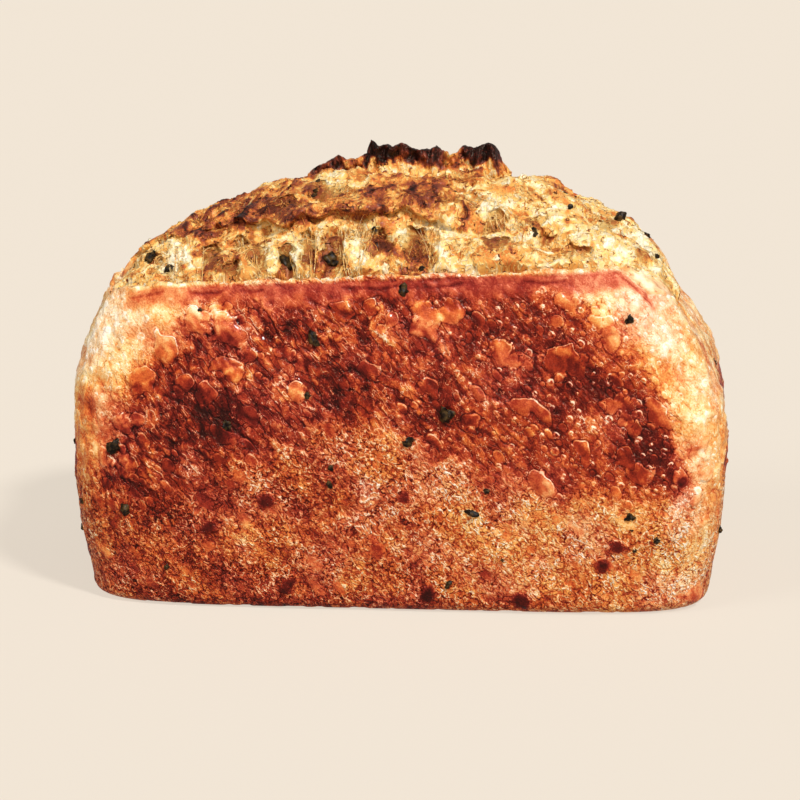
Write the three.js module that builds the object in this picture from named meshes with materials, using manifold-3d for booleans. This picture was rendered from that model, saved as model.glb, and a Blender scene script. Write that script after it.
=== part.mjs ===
// Jalapeno bread loaf, baked in a tin and slashed along its length before it went into the oven.
// One solid in millimetres, +Z up: the base lies on z = 0, centred on the origin, the length runs
// along X, and the long side with the torn slash above it faces -Y.
import * as THREE from "three";
import { ImprovedNoise } from "three/addons/math/ImprovedNoise.js";
import { mergeVertices } from "three/addons/utils/BufferGeometryUtils.js";
import Module from "manifold-3d";

// The tin: the loaf fills it at the base and at the rim, where the sides are widest.
const TIN_LENGTH = 216;
const TIN_WIDTH = 114;
const BASE_LENGTH = 206;
const BASE_WIDTH = 104;
const RIM_HEIGHT = 54;
const FOOT_RADIUS = 4; // round edge along the base
const CORNER_POWER = 6; // power of the superellipse that rounds the upright corners
const SIDE_SWELL = 1.4; // uneven swelling of the sides
const SWELL_WAVE = 34;
const SWELL_FROM = 4; // heights between which the swelling sets in
const SWELL_TO = 30;

// Above the rim the sides roll in to the shoulder, and the crown springs from there.
const SHOULDER_HEIGHT = 103;
const SHOULDER_DEPTH = 50; // from the middle to the shoulder at the front and the back
const ROLL_POWER = 2.4; // how late the long sides roll in
const CROWN_RISE = 34;
const FRONT_POWER = 0.85; // how fast the crown rises from the lip, and from the back
const BACK_POWER = 0.75;
// The two ends differ: how far out the shoulder is, how late the end rolls in and the crown falls off.
const LEFT = { shoulder: 97, roll: 2.4, fall: 2.15 };
const RIGHT = { shoulder: 92, roll: 2, fall: 2.9 };

// The front's upper edge is a lip of crust that climbs to the right and turns down at the corners.
const LIP_LEFT = 107; // height of the lip at its two ends
const LIP_RIGHT = 116;
const LIP_WAVE = 20;
const LIP_WAVER = 0.9;
const LIP_TURN = 0.78; // share of the half length past which it turns down
const CORNER_LIFT = 2.5; // how far it still stands over the shoulder at the corners
const LIP_FADE = -0.5; // behind here, between the front, -1, and the back, 1, the edge is level
const LIP_STAND = 0.88; // inside this share of the plan the crumb no longer follows the lip

// The slash tore open from the lip up to the ear along the ridge. Shares of the half length and width.
const RIDGE_SHARE = 0.12;
const TEAR_ENDS = [0.8, 0.97];
const TEAR_FRONT = [-0.98, -0.86];
const TEAR_BACK = [RIDGE_SHARE, RIDGE_SHARE + 0.12];
const TIER_COUNT = 3; // torn steps between the lip and the ridge
const TIER_SHARE = 0.6; // how far the slope is drawn into steps
const TIER_RISER = [0.05, 0.6]; // share of a step that is steep
const TIER_WAVE = 26;
const TIER_WAVER = 0.55;
const TEAR_DEPTH = 3.2; // pits in the torn crumb
const PIT_WAVE = 9;
const PIT_SHARE = 1.6;
const FINE_PIT_WAVE = 5;
const FINE_PIT_SHARE = 0.96;
const CRUMB_SWELL = 0.55; // how far the crumb stands out between its pits

// Ragged pieces that stand out of the crown: x from and to, share of the way up the tear, height,
// thickness at the foot and how far the edge leans back.
const EAR = { from: -62, to: 36, up: 1, height: 9, thickness: 9, lean: 2, steps: 36 };
const EAR_STEP = [-12, -8]; // left of this the ear is low, right of it tall
const EAR_LOW_SHARE = 0.4;
const LEFT_SHELF = { from: -72, to: 4, up: 0.5, height: 5, thickness: 10, lean: -4, steps: 24 };
const RIGHT_SHELF = { from: 12, to: 62, up: 0.6, height: 4, thickness: 9, lean: -3, steps: 16 };
const FIN_SINK = 5; // how deep the foot of such a piece is sunk in the crumb
const FIN_EDGE_SHARE = 0.35; // thickness of the edge against the foot
const FIN_END = 5; // length over which it falls off at each end
const FIN_END_HEIGHT = 0.3; // what is left there of its height and thickness
const FIN_END_THICKNESS = 0.5;
const FIN_WAVE = 9;
const FIN_WANDER = 0.05; // how far its foot wanders up and down the tear
const FIN_BEND = 1.2;
const FIN_RAGGED = { least: 0.6, coarse: 0.8, fine: 0.35 };

// Small things that are baked into the surface: how many, their radii, how flat, how far sunk.
const CRAG = { count: 22, radius: [3.2, 5.6], flatness: 0.7, sink: 0.25 };
const JALAPENO = { count: 32, radius: [1.7, 2.7], flatness: 0.7, sink: 0.1 };
const BLISTER = { count: 18, radius: [3, 5.5], flatness: 0.32, sink: 0.08 };
const OUT_OF_ROUND = [0.8, 1.25];
const DOME_SIDES = 8;
const DOME_ROWS = 5;

// Spans, as shares of the half length, width and height, that the small things are spread over.
const ALONG_SIDE = [-0.85, 0.85];
const ALONG_END = [-0.7, 0.7];
const UP_SIDE = [-0.8, 0.8];
const UP_BLISTERED = [0.1, 0.8];
const UP_TEAR = [-0.86, RIDGE_SHARE - 0.06];
const BEHIND_RIDGE = [RIDGE_SHARE + 0.1, 0.85];

// Grid of the body, and the seed of the random draws.
const LENGTH_CELLS = 46;
const DEPTH_CELLS = 22;
const HEIGHT_CELLS = 11;
const FRONT_CROWDING = 0.18; // closer rows towards the lip
const RIM_CROWDING = 0.085; // closer rows at the base and the shoulder
const BELOW_FLOOR = 2; // the body starts below the floor and is trimmed flat
const NORMAL_STEP = 0.02;
const MERGE_DISTANCE = 1e-4;
const SEED = 11;

const UP = new THREE.Vector3(0, 0, 1);
const { smoothstep, lerp, clamp } = THREE.MathUtils;
const perlin = new ImprovedNoise();

// Seeded random numbers from 0 to 1.
function seeded(seed) {
  let state = seed >>> 0;
  return () => {
    state = (state + 0x6d2b79f5) >>> 0;
    let mixed = Math.imul(state ^ (state >>> 15), 1 | state);
    mixed = (mixed + Math.imul(mixed ^ (mixed >>> 7), 61 | mixed)) ^ mixed;
    return ((mixed ^ (mixed >>> 14)) >>> 0) / 2 ** 32;
  };
}
const random = seeded(SEED);
const between = ([low, high]) => lerp(low, high, random());

// Even spread of numbered places over a plane: multiples of 1/p and 1/p^2, where p^3 = p + 1.
const PLASTIC_NUMBER = 1.324718;
const spreadOne = (i, [low, high]) => lerp(low, high, (0.5 + i / PLASTIC_NUMBER) % 1);
const spreadTwo = (i, [low, high]) => lerp(low, high, (0.5 + i / PLASTIC_NUMBER ** 2) % 1);

// Smooth noise of the given wavelength, about -1 to 1; each layer is a pattern of its own.
function noise(x, y, z, wavelength, layer = 0) {
  const apart = 37.3 * (layer + 1);
  return perlin.noise(x / wavelength + apart, y / wavelength + apart / 3, z / wavelength + apart / 2);
}

const endOf = (s) => (s < 0 ? LEFT : RIGHT);

// Half length or half width of the loaf at a height, from its sizes at base, rim and shoulder.
function sideReach(z, top, base, rim, shoulder, roll) {
  if (z < RIM_HEIGHT) {
    const up = Math.max(z, 0) / RIM_HEIGHT;
    const foot = clamp(1 - z / FOOT_RADIUS, 0, 1);
    const rounding = FOOT_RADIUS * (1 - Math.sqrt(1 - foot * foot));
    return lerp(base, rim, Math.sin((up * Math.PI) / 2)) - rounding;
  }
  const over = (z - RIM_HEIGHT) / (top - RIM_HEIGHT);
  return rim - (rim - shoulder) * over ** roll;
}

// Draws a square's points in to a superellipse: 1 at the middle of a side, less at a corner.
function cornerShare(s, t) {
  const most = Math.max(Math.abs(s), Math.abs(t));
  if (most === 0) return 1;
  const sum = Math.abs(s) ** CORNER_POWER + Math.abs(t) ** CORNER_POWER;
  return most / sum ** (1 / CORNER_POWER);
}

// How far the sides' upper edge stands over the shoulder: the lip along the front, then level.
function edgeLift(s, t) {
  const waver = LIP_WAVER * noise(s * LEFT.shoulder, 0, 0, LIP_WAVE, 1);
  const lip = lerp(LIP_LEFT, LIP_RIGHT, (s + 1) / 2) + waver - SHOULDER_HEIGHT;
  const toCorner = smoothstep(Math.abs(s), LIP_TURN, 1);
  return lerp(lip, CORNER_LIFT, toCorner) * (1 - smoothstep(t, -1, LIP_FADE));
}

// How far up the tear a point of the crown is: 0 at the lip, 1 at the ridge.
const tearShare = (t) => clamp((t + 1) / (1 + RIDGE_SHARE), 0, 1);

// 1 on the torn crumb and 0 on the crust round it.
function tornMask(s, t) {
  const ends = 1 - smoothstep(Math.abs(s), ...TEAR_ENDS);
  const front = smoothstep(t, ...TEAR_FRONT);
  const back = 1 - smoothstep(t, ...TEAR_BACK);
  return ends * front * back;
}

// Rise of the crown over the shoulder, torn into uneven steps on its front.
function crownRise(s, t, x, y) {
  const along = 1 - Math.abs(s) ** endOf(s).fall;
  if (t > RIDGE_SHARE) {
    const fromBack = (1 - t) / (1 - RIDGE_SHARE);
    return CROWN_RISE * along * Math.sin((fromBack * Math.PI) / 2) ** BACK_POWER;
  }
  const up = tearShare(t);
  const waver = TIER_WAVER * noise(x, 0, 0, TIER_WAVE) * Math.sin(up * Math.PI);
  const tier = up * TIER_COUNT + waver;
  const step = Math.floor(tier) + smoothstep(tier - Math.floor(tier), ...TIER_RISER);
  const torn = tornMask(s, t);
  const slope = lerp(up, clamp(step / TIER_COUNT, 0, 1), TIER_SHARE * torn);
  const rise = CROWN_RISE * along * Math.sin((slope * Math.PI) / 2) ** FRONT_POWER;
  const pits = PIT_SHARE * Math.abs(noise(x, y, 0, PIT_WAVE));
  const finePits = FINE_PIT_SHARE * Math.abs(noise(x, y, 0, FINE_PIT_WAVE, 2));
  return rise + TEAR_DEPTH * torn * (CRUMB_SWELL - pits - finePits);
}

// The loaf's outer form over a cube from -1 to 1: s runs along X, t along Y and q along Z.
function loafPoint(s, t, q) {
  const onTop = q >= 1;
  const rows = (q + 1) / 2;
  const crowded = rows - RIM_CROWDING * Math.sin(2 * Math.PI * rows);
  const top = SHOULDER_HEIGHT + edgeLift(s, t);
  const z = onTop ? top : lerp(-BELOW_FLOOR, top, crowded);
  const end = endOf(s);
  const share = cornerShare(s, t);
  const point = new THREE.Vector3(
    s * share * sideReach(z, top, BASE_LENGTH / 2, TIN_LENGTH / 2, end.shoulder, end.roll),
    t * share * sideReach(z, top, BASE_WIDTH / 2, TIN_WIDTH / 2, SHOULDER_DEPTH, ROLL_POWER),
    z,
  );
  const rim = Math.max(Math.abs(s), Math.abs(t));
  const setIn = smoothstep(z, SWELL_FROM, SWELL_TO);
  const swell = SIDE_SWELL * noise(point.x, point.y, point.z, SWELL_WAVE) * setIn;
  point.x *= 1 + (rim * swell) / (TIN_LENGTH / 2);
  point.y *= 1 + (rim * swell) / (TIN_WIDTH / 2);
  if (onTop) {
    const atEdge = smoothstep(rim, LIP_STAND, 1);
    point.z = SHOULDER_HEIGHT + atEdge * edgeLift(s, t) + crownRise(s, t, point.x, point.y);
  }
  return point;
}

// Outward normal of the form, from its slope across a small step.
function loafNormal(s, t, q) {
  const along = (ds, dt, dq) =>
    loafPoint(s + ds, t + dt, q + dq).sub(loafPoint(s - ds, t - dt, q - dq));
  const alongX = along(NORMAL_STEP, 0, 0);
  const alongY = along(0, NORMAL_STEP, 0);
  if (q >= 1) return alongX.cross(alongY).normalize();
  const alongZ = along(0, 0, NORMAL_STEP);
  if (Math.abs(t) >= 1) return alongX.cross(alongZ).multiplyScalar(-t).normalize();
  return alongY.cross(alongZ).multiplyScalar(s).normalize();
}

// Moves each vertex of a geometry to where place puts it.
function moved(geometry, place) {
  const at = geometry.attributes.position;
  const vertex = new THREE.Vector3();
  for (let i = 0; i < at.count; i++) {
    place(vertex.fromBufferAttribute(at, i));
    at.setXYZ(i, vertex.x, vertex.y, vertex.z);
  }
  return geometry;
}

const wasm = await Module();
wasm.setup();

// A closed geometry as a solid that can be joined and cut.
function solidOf(geometry) {
  geometry.deleteAttribute("normal");
  geometry.deleteAttribute("uv");
  const merged = mergeVertices(geometry, MERGE_DISTANCE);
  return new wasm.Manifold(
    new wasm.Mesh({
      numProp: 3,
      vertProperties: new Float32Array(merged.attributes.position.array),
      triVerts: new Uint32Array(merged.index.array),
    }),
  );
}

// A solid back as a geometry, with the middle of its box over the origin.
function geometryOf(solid) {
  const made = solid.getMesh();
  const geometry = new THREE.BufferGeometry();
  geometry.setAttribute("position", new THREE.BufferAttribute(made.vertProperties, 3));
  geometry.setIndex(new THREE.BufferAttribute(made.triVerts, 1));
  geometry.computeBoundingBox();
  const middle = geometry.boundingBox.getCenter(new THREE.Vector3());
  geometry.translate(-middle.x, -middle.y, 0);
  geometry.computeVertexNormals();
  return geometry;
}

// The body: tin-shaped sides under the torn crown, trimmed flat at the floor.
function makeBody() {
  const form = new THREE.BoxGeometry(2, 2, 2, LENGTH_CELLS, DEPTH_CELLS, HEIGHT_CELLS);
  moved(form, (v) => {
    const t = v.y - FRONT_CROWDING * (1 - v.y * v.y);
    v.copy(loafPoint(v.x, t, v.z));
  });
  const floor = new THREE.BoxGeometry(2 * TIN_LENGTH, 2 * TIN_WIDTH, 2 * RIM_HEIGHT);
  floor.translate(0, 0, -RIM_HEIGHT);
  return solidOf(form).subtract(solidOf(floor));
}

// Place on the crown under x, a share of the way up the tear.
const onTear = (x, up) => loafPoint(x / endOf(x).shoulder, up * (1 + RIDGE_SHARE) - 1, 1);

// A ragged fin of baked crumb that follows the tear, sunk at its foot; heightShare sets its outline.
function makeFin({ from, to, up, height, thickness, lean, steps }, heightShare) {
  const fin = new THREE.BoxGeometry(to - from, 2, 1, steps, 2, 2);
  moved(fin, (v) => {
    const x = v.x + (from + to) / 2;
    const rise = v.z + 0.5;
    const ends = smoothstep(x, from, from + FIN_END) * (1 - smoothstep(x, to - FIN_END, to));
    const coarse = FIN_RAGGED.coarse * Math.abs(noise(x, up, 0, FIN_WAVE));
    const fine = FIN_RAGGED.fine * noise(x, up, 0, FIN_WAVE / 2, 3);
    const outline = heightShare(x) * lerp(FIN_END_HEIGHT, 1, ends);
    const top = height * outline * (FIN_RAGGED.least + coarse + fine);
    const seat = onTear(x, up + FIN_WANDER * noise(x, 0, 0, 2 * FIN_WAVE, 4));
    const taper = lerp(1, FIN_EDGE_SHARE, rise) * lerp(FIN_END_THICKNESS, 1, ends);
    const bend = lean * rise + FIN_BEND * noise(x, FIN_WAVE * rise, 0, FIN_WAVE, 5);
    v.set(x, seat.y + (v.y * thickness * taper) / 2 + bend, seat.z + lerp(-FIN_SINK, top, rise));
  });
  return solidOf(fin);
}

// The numbered places on each face of the cube: the tear, the rest of the crown, sides and ends.
const onTearPlace = (i) => [spreadOne(i, ALONG_SIDE), spreadTwo(i, UP_TEAR), 1];
const onCrownPlace = (i) => [spreadOne(i, ALONG_SIDE), spreadTwo(i, BEHIND_RIDGE), 1];
const onFrontPlace = (i, up) => [spreadOne(i, ALONG_SIDE), -1, spreadTwo(i, up)];
const onBackPlace = (i, up) => [spreadOne(i, ALONG_SIDE), 1, spreadTwo(i, up)];
const onLeftPlace = (i, up) => [-1, spreadOne(i, ALONG_END), spreadTwo(i, up)];
const onRightPlace = (i, up) => [1, spreadOne(i, ALONG_END), spreadTwo(i, up)];

const angular = () => new THREE.IcosahedronGeometry(1, 0);
const domed = () => new THREE.SphereGeometry(1, DOME_SIDES, DOME_ROWS).rotateX(Math.PI / 2);

// A lump set on the surface: a shape pressed in by sink and flattened along the normal.
function makeLump(shape, place, { radius, flatness, sink }) {
  const size = between(radius);
  const normal = loafNormal(...place);
  const seat = loafPoint(...place).addScaledVector(normal, -sink * size);
  const scale = new THREE.Vector3(between(OUT_OF_ROUND), between(OUT_OF_ROUND), flatness);
  const turn = new THREE.Quaternion().setFromUnitVectors(UP, normal);
  const spin = new THREE.Quaternion().setFromAxisAngle(UP, random() * 2 * Math.PI);
  const matrix = new THREE.Matrix4().compose(seat, turn.multiply(spin), scale.multiplyScalar(size));
  return solidOf(shape.applyMatrix4(matrix));
}

// Lumps of one kind, dealt out over their faces in turn.
function makeLumps(makeShape, kind, faces, up) {
  const lumps = [];
  for (let i = 0; i < kind.count; i++) {
    const place = faces[i % faces.length](i, up);
    lumps.push(makeLump(makeShape(), place, kind));
  }
  return lumps;
}

const earHeight = (x) => lerp(EAR_LOW_SHARE, 1, smoothstep(x, ...EAR_STEP));
const level = () => 1;
const crust = [onFrontPlace, onBackPlace, onLeftPlace, onFrontPlace, onRightPlace];
const pieces = [
  makeFin(EAR, earHeight),
  makeFin(LEFT_SHELF, level),
  makeFin(RIGHT_SHELF, level),
  ...makeLumps(angular, CRAG, [onTearPlace], UP_SIDE),
  ...makeLumps(angular, JALAPENO, [onTearPlace, ...crust, onTearPlace, onCrownPlace], UP_SIDE),
  ...makeLumps(domed, BLISTER, [...crust, onCrownPlace], UP_BLISTERED),
];
const fused = pieces.reduce((whole, piece) => whole.add(piece), makeBody());
// Only the outer skin is kept, so that no gap sealed in between two pieces stays hollow.
const [outerSkin] = fused.decompose().sort((a, b) => b.volume() - a.volume());

const baked = new THREE.MeshStandardMaterial({ color: 0xb5622c, roughness: 0.6, metalness: 0 });
const loaf = new THREE.Mesh(geometryOf(outerSkin), baked);
loaf.name = "loaf";

const group = new THREE.Group();
group.add(loaf);
export default group;
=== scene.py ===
"""Looks of a jalapeno loaf baked in a tin: blistered crust, torn crumb, burnt ear and baked-in bits.

Sizes are in millimetres, and MM turns them into the frame's metres. Places that were read off the
reference picture are pixels of its 800 x 800 frame: View works out where a point of the loaf shows.
"""
import logging
import math
import operator
import random
from dataclasses import dataclass, field
from enum import Enum
from functools import reduce

import bmesh
import bpy
import numpy as np
from bmesh.types import BMesh
from bpy.types import Material, Mesh, Object
from mathutils import Matrix, Vector, noise


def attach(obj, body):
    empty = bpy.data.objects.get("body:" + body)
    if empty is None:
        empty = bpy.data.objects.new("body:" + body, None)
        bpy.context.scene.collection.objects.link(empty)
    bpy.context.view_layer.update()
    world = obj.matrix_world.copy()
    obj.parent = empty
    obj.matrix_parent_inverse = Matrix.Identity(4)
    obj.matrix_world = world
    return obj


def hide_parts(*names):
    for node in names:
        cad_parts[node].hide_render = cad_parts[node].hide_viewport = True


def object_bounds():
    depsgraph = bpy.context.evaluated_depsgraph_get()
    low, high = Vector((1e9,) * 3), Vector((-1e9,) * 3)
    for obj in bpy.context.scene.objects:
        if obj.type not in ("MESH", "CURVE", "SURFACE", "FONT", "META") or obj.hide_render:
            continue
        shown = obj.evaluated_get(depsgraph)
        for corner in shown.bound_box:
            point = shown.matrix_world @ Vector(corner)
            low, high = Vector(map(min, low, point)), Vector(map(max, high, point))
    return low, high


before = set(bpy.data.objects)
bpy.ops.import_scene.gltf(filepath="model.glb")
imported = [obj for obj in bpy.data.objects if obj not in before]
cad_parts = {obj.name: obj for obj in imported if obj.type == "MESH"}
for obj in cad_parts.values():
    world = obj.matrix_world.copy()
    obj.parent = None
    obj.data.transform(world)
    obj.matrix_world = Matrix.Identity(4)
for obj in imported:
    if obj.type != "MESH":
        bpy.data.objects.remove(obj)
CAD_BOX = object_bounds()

LOG = logging.getLogger("jalapeno_loaf")
LOAF_LENGTH = 218.2  # length of the frame's loaf in millimetres
MM = (CAD_BOX[1].x - CAD_BOX[0].x) / LOAF_LENGTH
SEED = 11
PLAN_HALF = (108.0, 57.0)  # half length and half width of the plan
FLAT = np.array([1.0, 1.0, 0.0])  # takes a point's height away
SNAP = 1e-6  # how near to a face of the form's cube a point counts as lying on it
TINY = 1e-9  # least length that is divided by
FAR = 3.0  # distance to an outline, of a blister or a cell, where none is near
LEAST_TOAST = 0.02
SPOT_FADE = 1.4  # how steeply a spot fades towards its edge
Span = tuple[float, float]
Triple = tuple[float, float, float]
Weights = tuple[tuple[str, float], ...]
Array = np.ndarray


class Wall(Enum):
    """The two stretches of baked wall, each a path round the loaf's plan, corner by corner."""

    FRONT = ((-1.0, -0.7), (-1.0, -1.0), (1.0, -1.0), (1.0, -0.7))
    SIDES = ((1.0, -0.8), (1.0, 1.0), (-1.0, 1.0), (-1.0, -0.8))

    def plan(self, share: Array) -> tuple[Array, Array]:
        """Places on the plan.

        Args:
            share: shares of the stretch's length.

        Returns:
            The places' s and t.
        """
        corners = np.array(self.value)
        legs = np.linalg.norm(np.diff(corners, axis=0) * PLAN_HALF, axis=1)
        way = np.concatenate([[0.0], np.cumsum(legs)]) / legs.sum()
        return np.interp(share, way, corners[:, 0]), np.interp(share, way, corners[:, 1])


def ease(low: float, high: float, value: Array) -> Array:
    """Smooth rise from 0 at low to 1 at high.

    Args:
        low: value where the rise starts; it may lie above high for a fall.
        high: value where it ends.
        value: numbers to look up.

    Returns:
        Shares from 0 to 1.
    """
    share = np.clip((value - low) / (high - low), 0.0, 1.0)
    return share * share * (3.0 - 2.0 * share)


def blend(first: Array, second: Array, share: Array) -> Array:
    """Mixture of two values, all second where share is 1."""
    return first + (second - first) * share


def line(values: Array, width: float) -> Array:
    """1 where values pass through zero, falling to 0 within a width either side."""
    return np.exp(-((values / width) ** 2))


def weighed(layers: dict, weights: Weights) -> "Array | Value":
    """Sum of named layers, numbers or shader values, each times its weight."""
    return reduce(operator.add, (layers[name] * weight for name, weight in weights))


def unit(rows: Array) -> Array:
    """Vectors on the last axis, brought to a length of 1."""
    return rows / np.maximum(np.linalg.norm(rows, axis=-1, keepdims=True), TINY)


@dataclass(frozen=True)
class Pattern:
    """Smooth noise over points: its wavelength in millimetres, its finer layers and its own number."""

    wave: float
    octaves: int = 3
    layer: int = 0
    apart: Triple = (17.1, 31.7, 5.3)  # from one number's pattern to the next
    fall: float = 1.0
    finer: float = 2.0

    def at(self, points: Array) -> Array:
        """Noise at points.

        Args:
            points: array whose last axis is x, y, z in millimetres.

        Returns:
            One value for each point, about -1 to 1.
        """
        shift = np.array(self.apart) * (self.layer + 1)
        rows = (points.reshape(-1, 3) / self.wave + shift).tolist()
        values = (noise.fractal(row, self.fall, self.finer, self.octaves) for row in rows)
        return np.fromiter(values, float, len(rows)).reshape(points.shape[:-1])

    def along(self, x: Array) -> Array:
        """Noise at places along the loaf."""
        return self.at(np.stack([x, 0 * x, 0 * x], -1))

    def drift(self, points: Array) -> Array:
        """Three values for each point, which move it about."""
        layers = range(self.layer, self.layer + 3)
        return np.stack([Pattern(self.wave, self.octaves, layer).at(points) for layer in layers], -1)


def linear(colour: Triple) -> tuple[float, float, float, float]:
    """Screen colour, 0 to 255, as the linear colour that a shader takes."""
    shares = [part / 255.0 for part in colour]
    return (*[c / 12.92 if c <= 0.04045 else ((c + 0.055) / 1.055) ** 2.4 for c in shares], 1.0)


@dataclass(frozen=True)
class View:
    """The camera that the reference picture was taken with, as far as its outline tells."""

    yaw: float = 4.0  # degrees that the camera stands to the right of the loaf's front
    rise: float = 14.0
    distance: float = 1000.0
    focal: float = 2945.0  # in pixels
    target: Triple = (-1.8, 0.0, 58.6)
    frame_side: int = 800
    sensor: float = 36.0

    def axes(self) -> tuple[Array, Array, Array]:
        """Directions of the picture.

        Returns:
            To its right, to its top and from the loaf to the camera.
        """
        yaw, rise = math.radians(self.yaw), math.radians(self.rise)
        right = np.array([math.cos(yaw), math.sin(yaw), 0.0])
        flat = math.cos(rise)
        back = np.array([math.sin(yaw) * flat, -math.cos(yaw) * flat, math.sin(rise)])
        return right, np.cross(back, right), back

    def pixels(self, points: Array) -> Array:
        """Picture places of points.

        Args:
            points: array whose last axis is x, y, z in millimetres.

        Returns:
            The same array with pixels, across and down, on its last axis.
        """
        right, up, back = self.axes()
        offset = points - np.array(self.target)
        scale = self.focal / (self.distance - offset @ back)
        half = self.frame_side / 2
        return np.stack([half + scale * (offset @ right), half - scale * (offset @ up)], -1)

    def on_plane(self, pixel: Span, y: float) -> Array:
        """Point in an upright plane along the loaf.

        Args:
            pixel: where it shows, across and down.
            y: where the plane stands.

        Returns:
            The point.
        """
        right, up, back = self.axes()
        half = self.frame_side / 2
        ray = (right * (pixel[0] - half) + up * (half - pixel[1])) / self.focal - back
        eye = np.array(self.target) + self.distance * back
        return eye + ray * (y - eye[1]) / ray[1]

    def place_camera(self) -> None:
        """Makes the camera and sets it as the scene's own."""
        right, up, back = self.axes()
        data = bpy.data.cameras.new("camera")
        data.lens = self.focal * self.sensor / self.frame_side
        data.sensor_width = self.sensor
        camera = bpy.data.objects.new("camera", data)
        bpy.context.scene.collection.objects.link(camera)
        eye = (np.array(self.target) + self.distance * back) * MM
        turn = Matrix((right, up, back)).transposed()
        camera.matrix_world = Matrix.Translation(eye) @ turn.to_4x4()
        bpy.context.scene.camera = camera


@dataclass(frozen=True)
class LoafEnd:
    """What one end of the loaf has of its own: shoulder, how late it rolls in and the crown falls."""

    shoulder: float
    roll: float
    fall: float


@dataclass(frozen=True)
class LoafForm:
    """Outer form of the loaf over a cube from -1 to 1: s along X, t along Y and q along Z."""

    tin_length: float = 216.0
    tin_width: float = 114.0
    base_length: float = 206.0
    base_width: float = 104.0
    rim_height: float = 54.0
    foot_radius: float = 4.0
    corner_power: float = 6.0
    shoulder_height: float = 103.0
    shoulder_depth: float = 50.0
    roll_power: float = 2.4
    crown_rise: float = 34.0
    front_power: float = 0.85
    back_power: float = 0.75
    left: LoafEnd = LoafEnd(97.0, 2.4, 2.15)
    right: LoafEnd = LoafEnd(92.0, 2.0, 2.9)
    lip_left: float = 107.0
    lip_right: float = 116.0
    lip_turn: float = 0.78
    corner_lift: float = 2.5
    lip_fade: float = -0.5
    ridge: float = 0.12
    tiers: int = 3
    tier_share: float = 0.6
    tier_riser: Span = (0.05, 0.6)
    tier_wander: float = 0.35  # how far the steps wander up and down, in steps
    tier_pattern: Pattern = Pattern(26.0)
    swell: float = 1.2
    swell_pattern: Pattern = Pattern(34.0, 1)
    swell_heights: Span = (4.0, 30.0)  # where the swelling starts and where it is full
    end_drops: Span = (5.0, 8.0)  # how far the edge falls at the left and the right end
    end_start: float = 0.85
    drop_span: Span = (-0.95, -0.4)  # from where to where across the loaf it sets in
    fray: float = 0.06  # how far the tear's back edge wanders, as a share of the half width
    fray_pattern: Pattern = Pattern(10.0, 3, 36)
    narrowing: float = 0.12  # how far it has come forward at the ends

    def of_end(self, s: Array, name: str) -> Array:
        """A value of the end that each point is nearer to."""
        return np.where(s < 0, getattr(self.left, name), getattr(self.right, name))

    def side_reach(self, z: Array, top: Array, sizes: tuple, roll: Array) -> Array:
        """Half length or half width at a height.

        Args:
            z: heights.
            top: height of the side's upper edge.
            sizes: half sizes at the base, the rim and the shoulder.
            roll: how late the side rolls in above the rim.

        Returns:
            Half sizes at z.
        """
        base, rim, shoulder = sizes
        foot = np.clip(1.0 - z / self.foot_radius, 0.0, 1.0)
        rounding = self.foot_radius * (1.0 - np.sqrt(1.0 - foot * foot))
        below = blend(base, rim, np.sin(np.clip(z / self.rim_height, 0, 1) * math.pi / 2)) - rounding
        over = np.clip((z - self.rim_height) / (top - self.rim_height), 0.0, 1.0)
        return np.where(z < self.rim_height, below, rim - (rim - shoulder) * over**roll)

    def corner_share(self, s: Array, t: Array) -> Array:
        """Draws a square's points in to a superellipse.

        Args:
            s: places along the loaf.
            t: places across it.

        Returns:
            1 at the middle of a side, less at a corner.
        """
        across, along = np.abs(s), np.abs(t)
        total = (across**self.corner_power + along**self.corner_power) ** (1.0 / self.corner_power)
        return np.maximum(across, along) / np.maximum(total, TINY)

    def edge_lift(self, s: Array, t: Array) -> Array:
        """How far the sides' upper edge stands over the shoulder: the lip along the front, then level.

        Args:
            s: places along the loaf.
            t: places across it.

        Returns:
            Heights over the shoulder.
        """
        lip = blend(self.lip_left, self.lip_right, (s + 1.0) / 2.0) - self.shoulder_height
        to_corner = ease(self.lip_turn, 1.0, np.abs(s))
        front = blend(lip, self.corner_lift, to_corner) * ease(self.lip_fade, -1.0, t)
        to_end = np.clip((np.abs(s) - self.end_start) / (1.0 - self.end_start), 0.0, 1.0) ** 2
        return front - np.where(s < 0, *self.end_drops) * to_end * ease(*self.drop_span, t)

    def rise(self, s: Array, t: Array, x: Array) -> Array:
        """Rise of the crown over the shoulder, torn into uneven steps on its front.

        Args:
            s: places along the loaf.
            t: places across it.
            x: places along it in millimetres.

        Returns:
            Heights over the shoulder.
        """
        along = 1.0 - np.abs(s) ** self.of_end(s, "fall")
        from_back = np.clip((1.0 - t) / (1.0 - self.ridge), 0.0, 1.0)
        behind = np.sin(from_back * math.pi / 2) ** self.back_power
        up = np.clip((t + 1.0) / (1.0 + self.ridge), 0.0, 1.0)
        wander = self.tier_wander * self.tier_pattern.along(x)
        tier = up * self.tiers + wander * np.sin(up * math.pi)
        step = np.floor(tier) + ease(*self.tier_riser, tier - np.floor(tier))
        slope = blend(up, np.clip(step / self.tiers, 0.0, 1.0), self.tier_share)
        torn = np.sin(slope * math.pi / 2) ** self.front_power
        return self.crown_rise * along * np.where(t > self.ridge, behind, torn)

    def swollen(self, points: Array, rim: Array) -> Array:
        """Points moved out or in by the uneven swelling of the sides.

        Args:
            points: points of the form.
            rim: how far each is from the loaf's middle line, 1 at its outside.

        Returns:
            The moved points.
        """
        amount = self.swell * self.swell_pattern.at(points) * rim
        amount *= ease(*self.swell_heights, points[..., 2])
        half = np.array([self.tin_length, self.tin_width]) / 2
        moved = points.copy()
        moved[..., :2] *= 1.0 + amount[..., None] / half
        return moved

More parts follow.
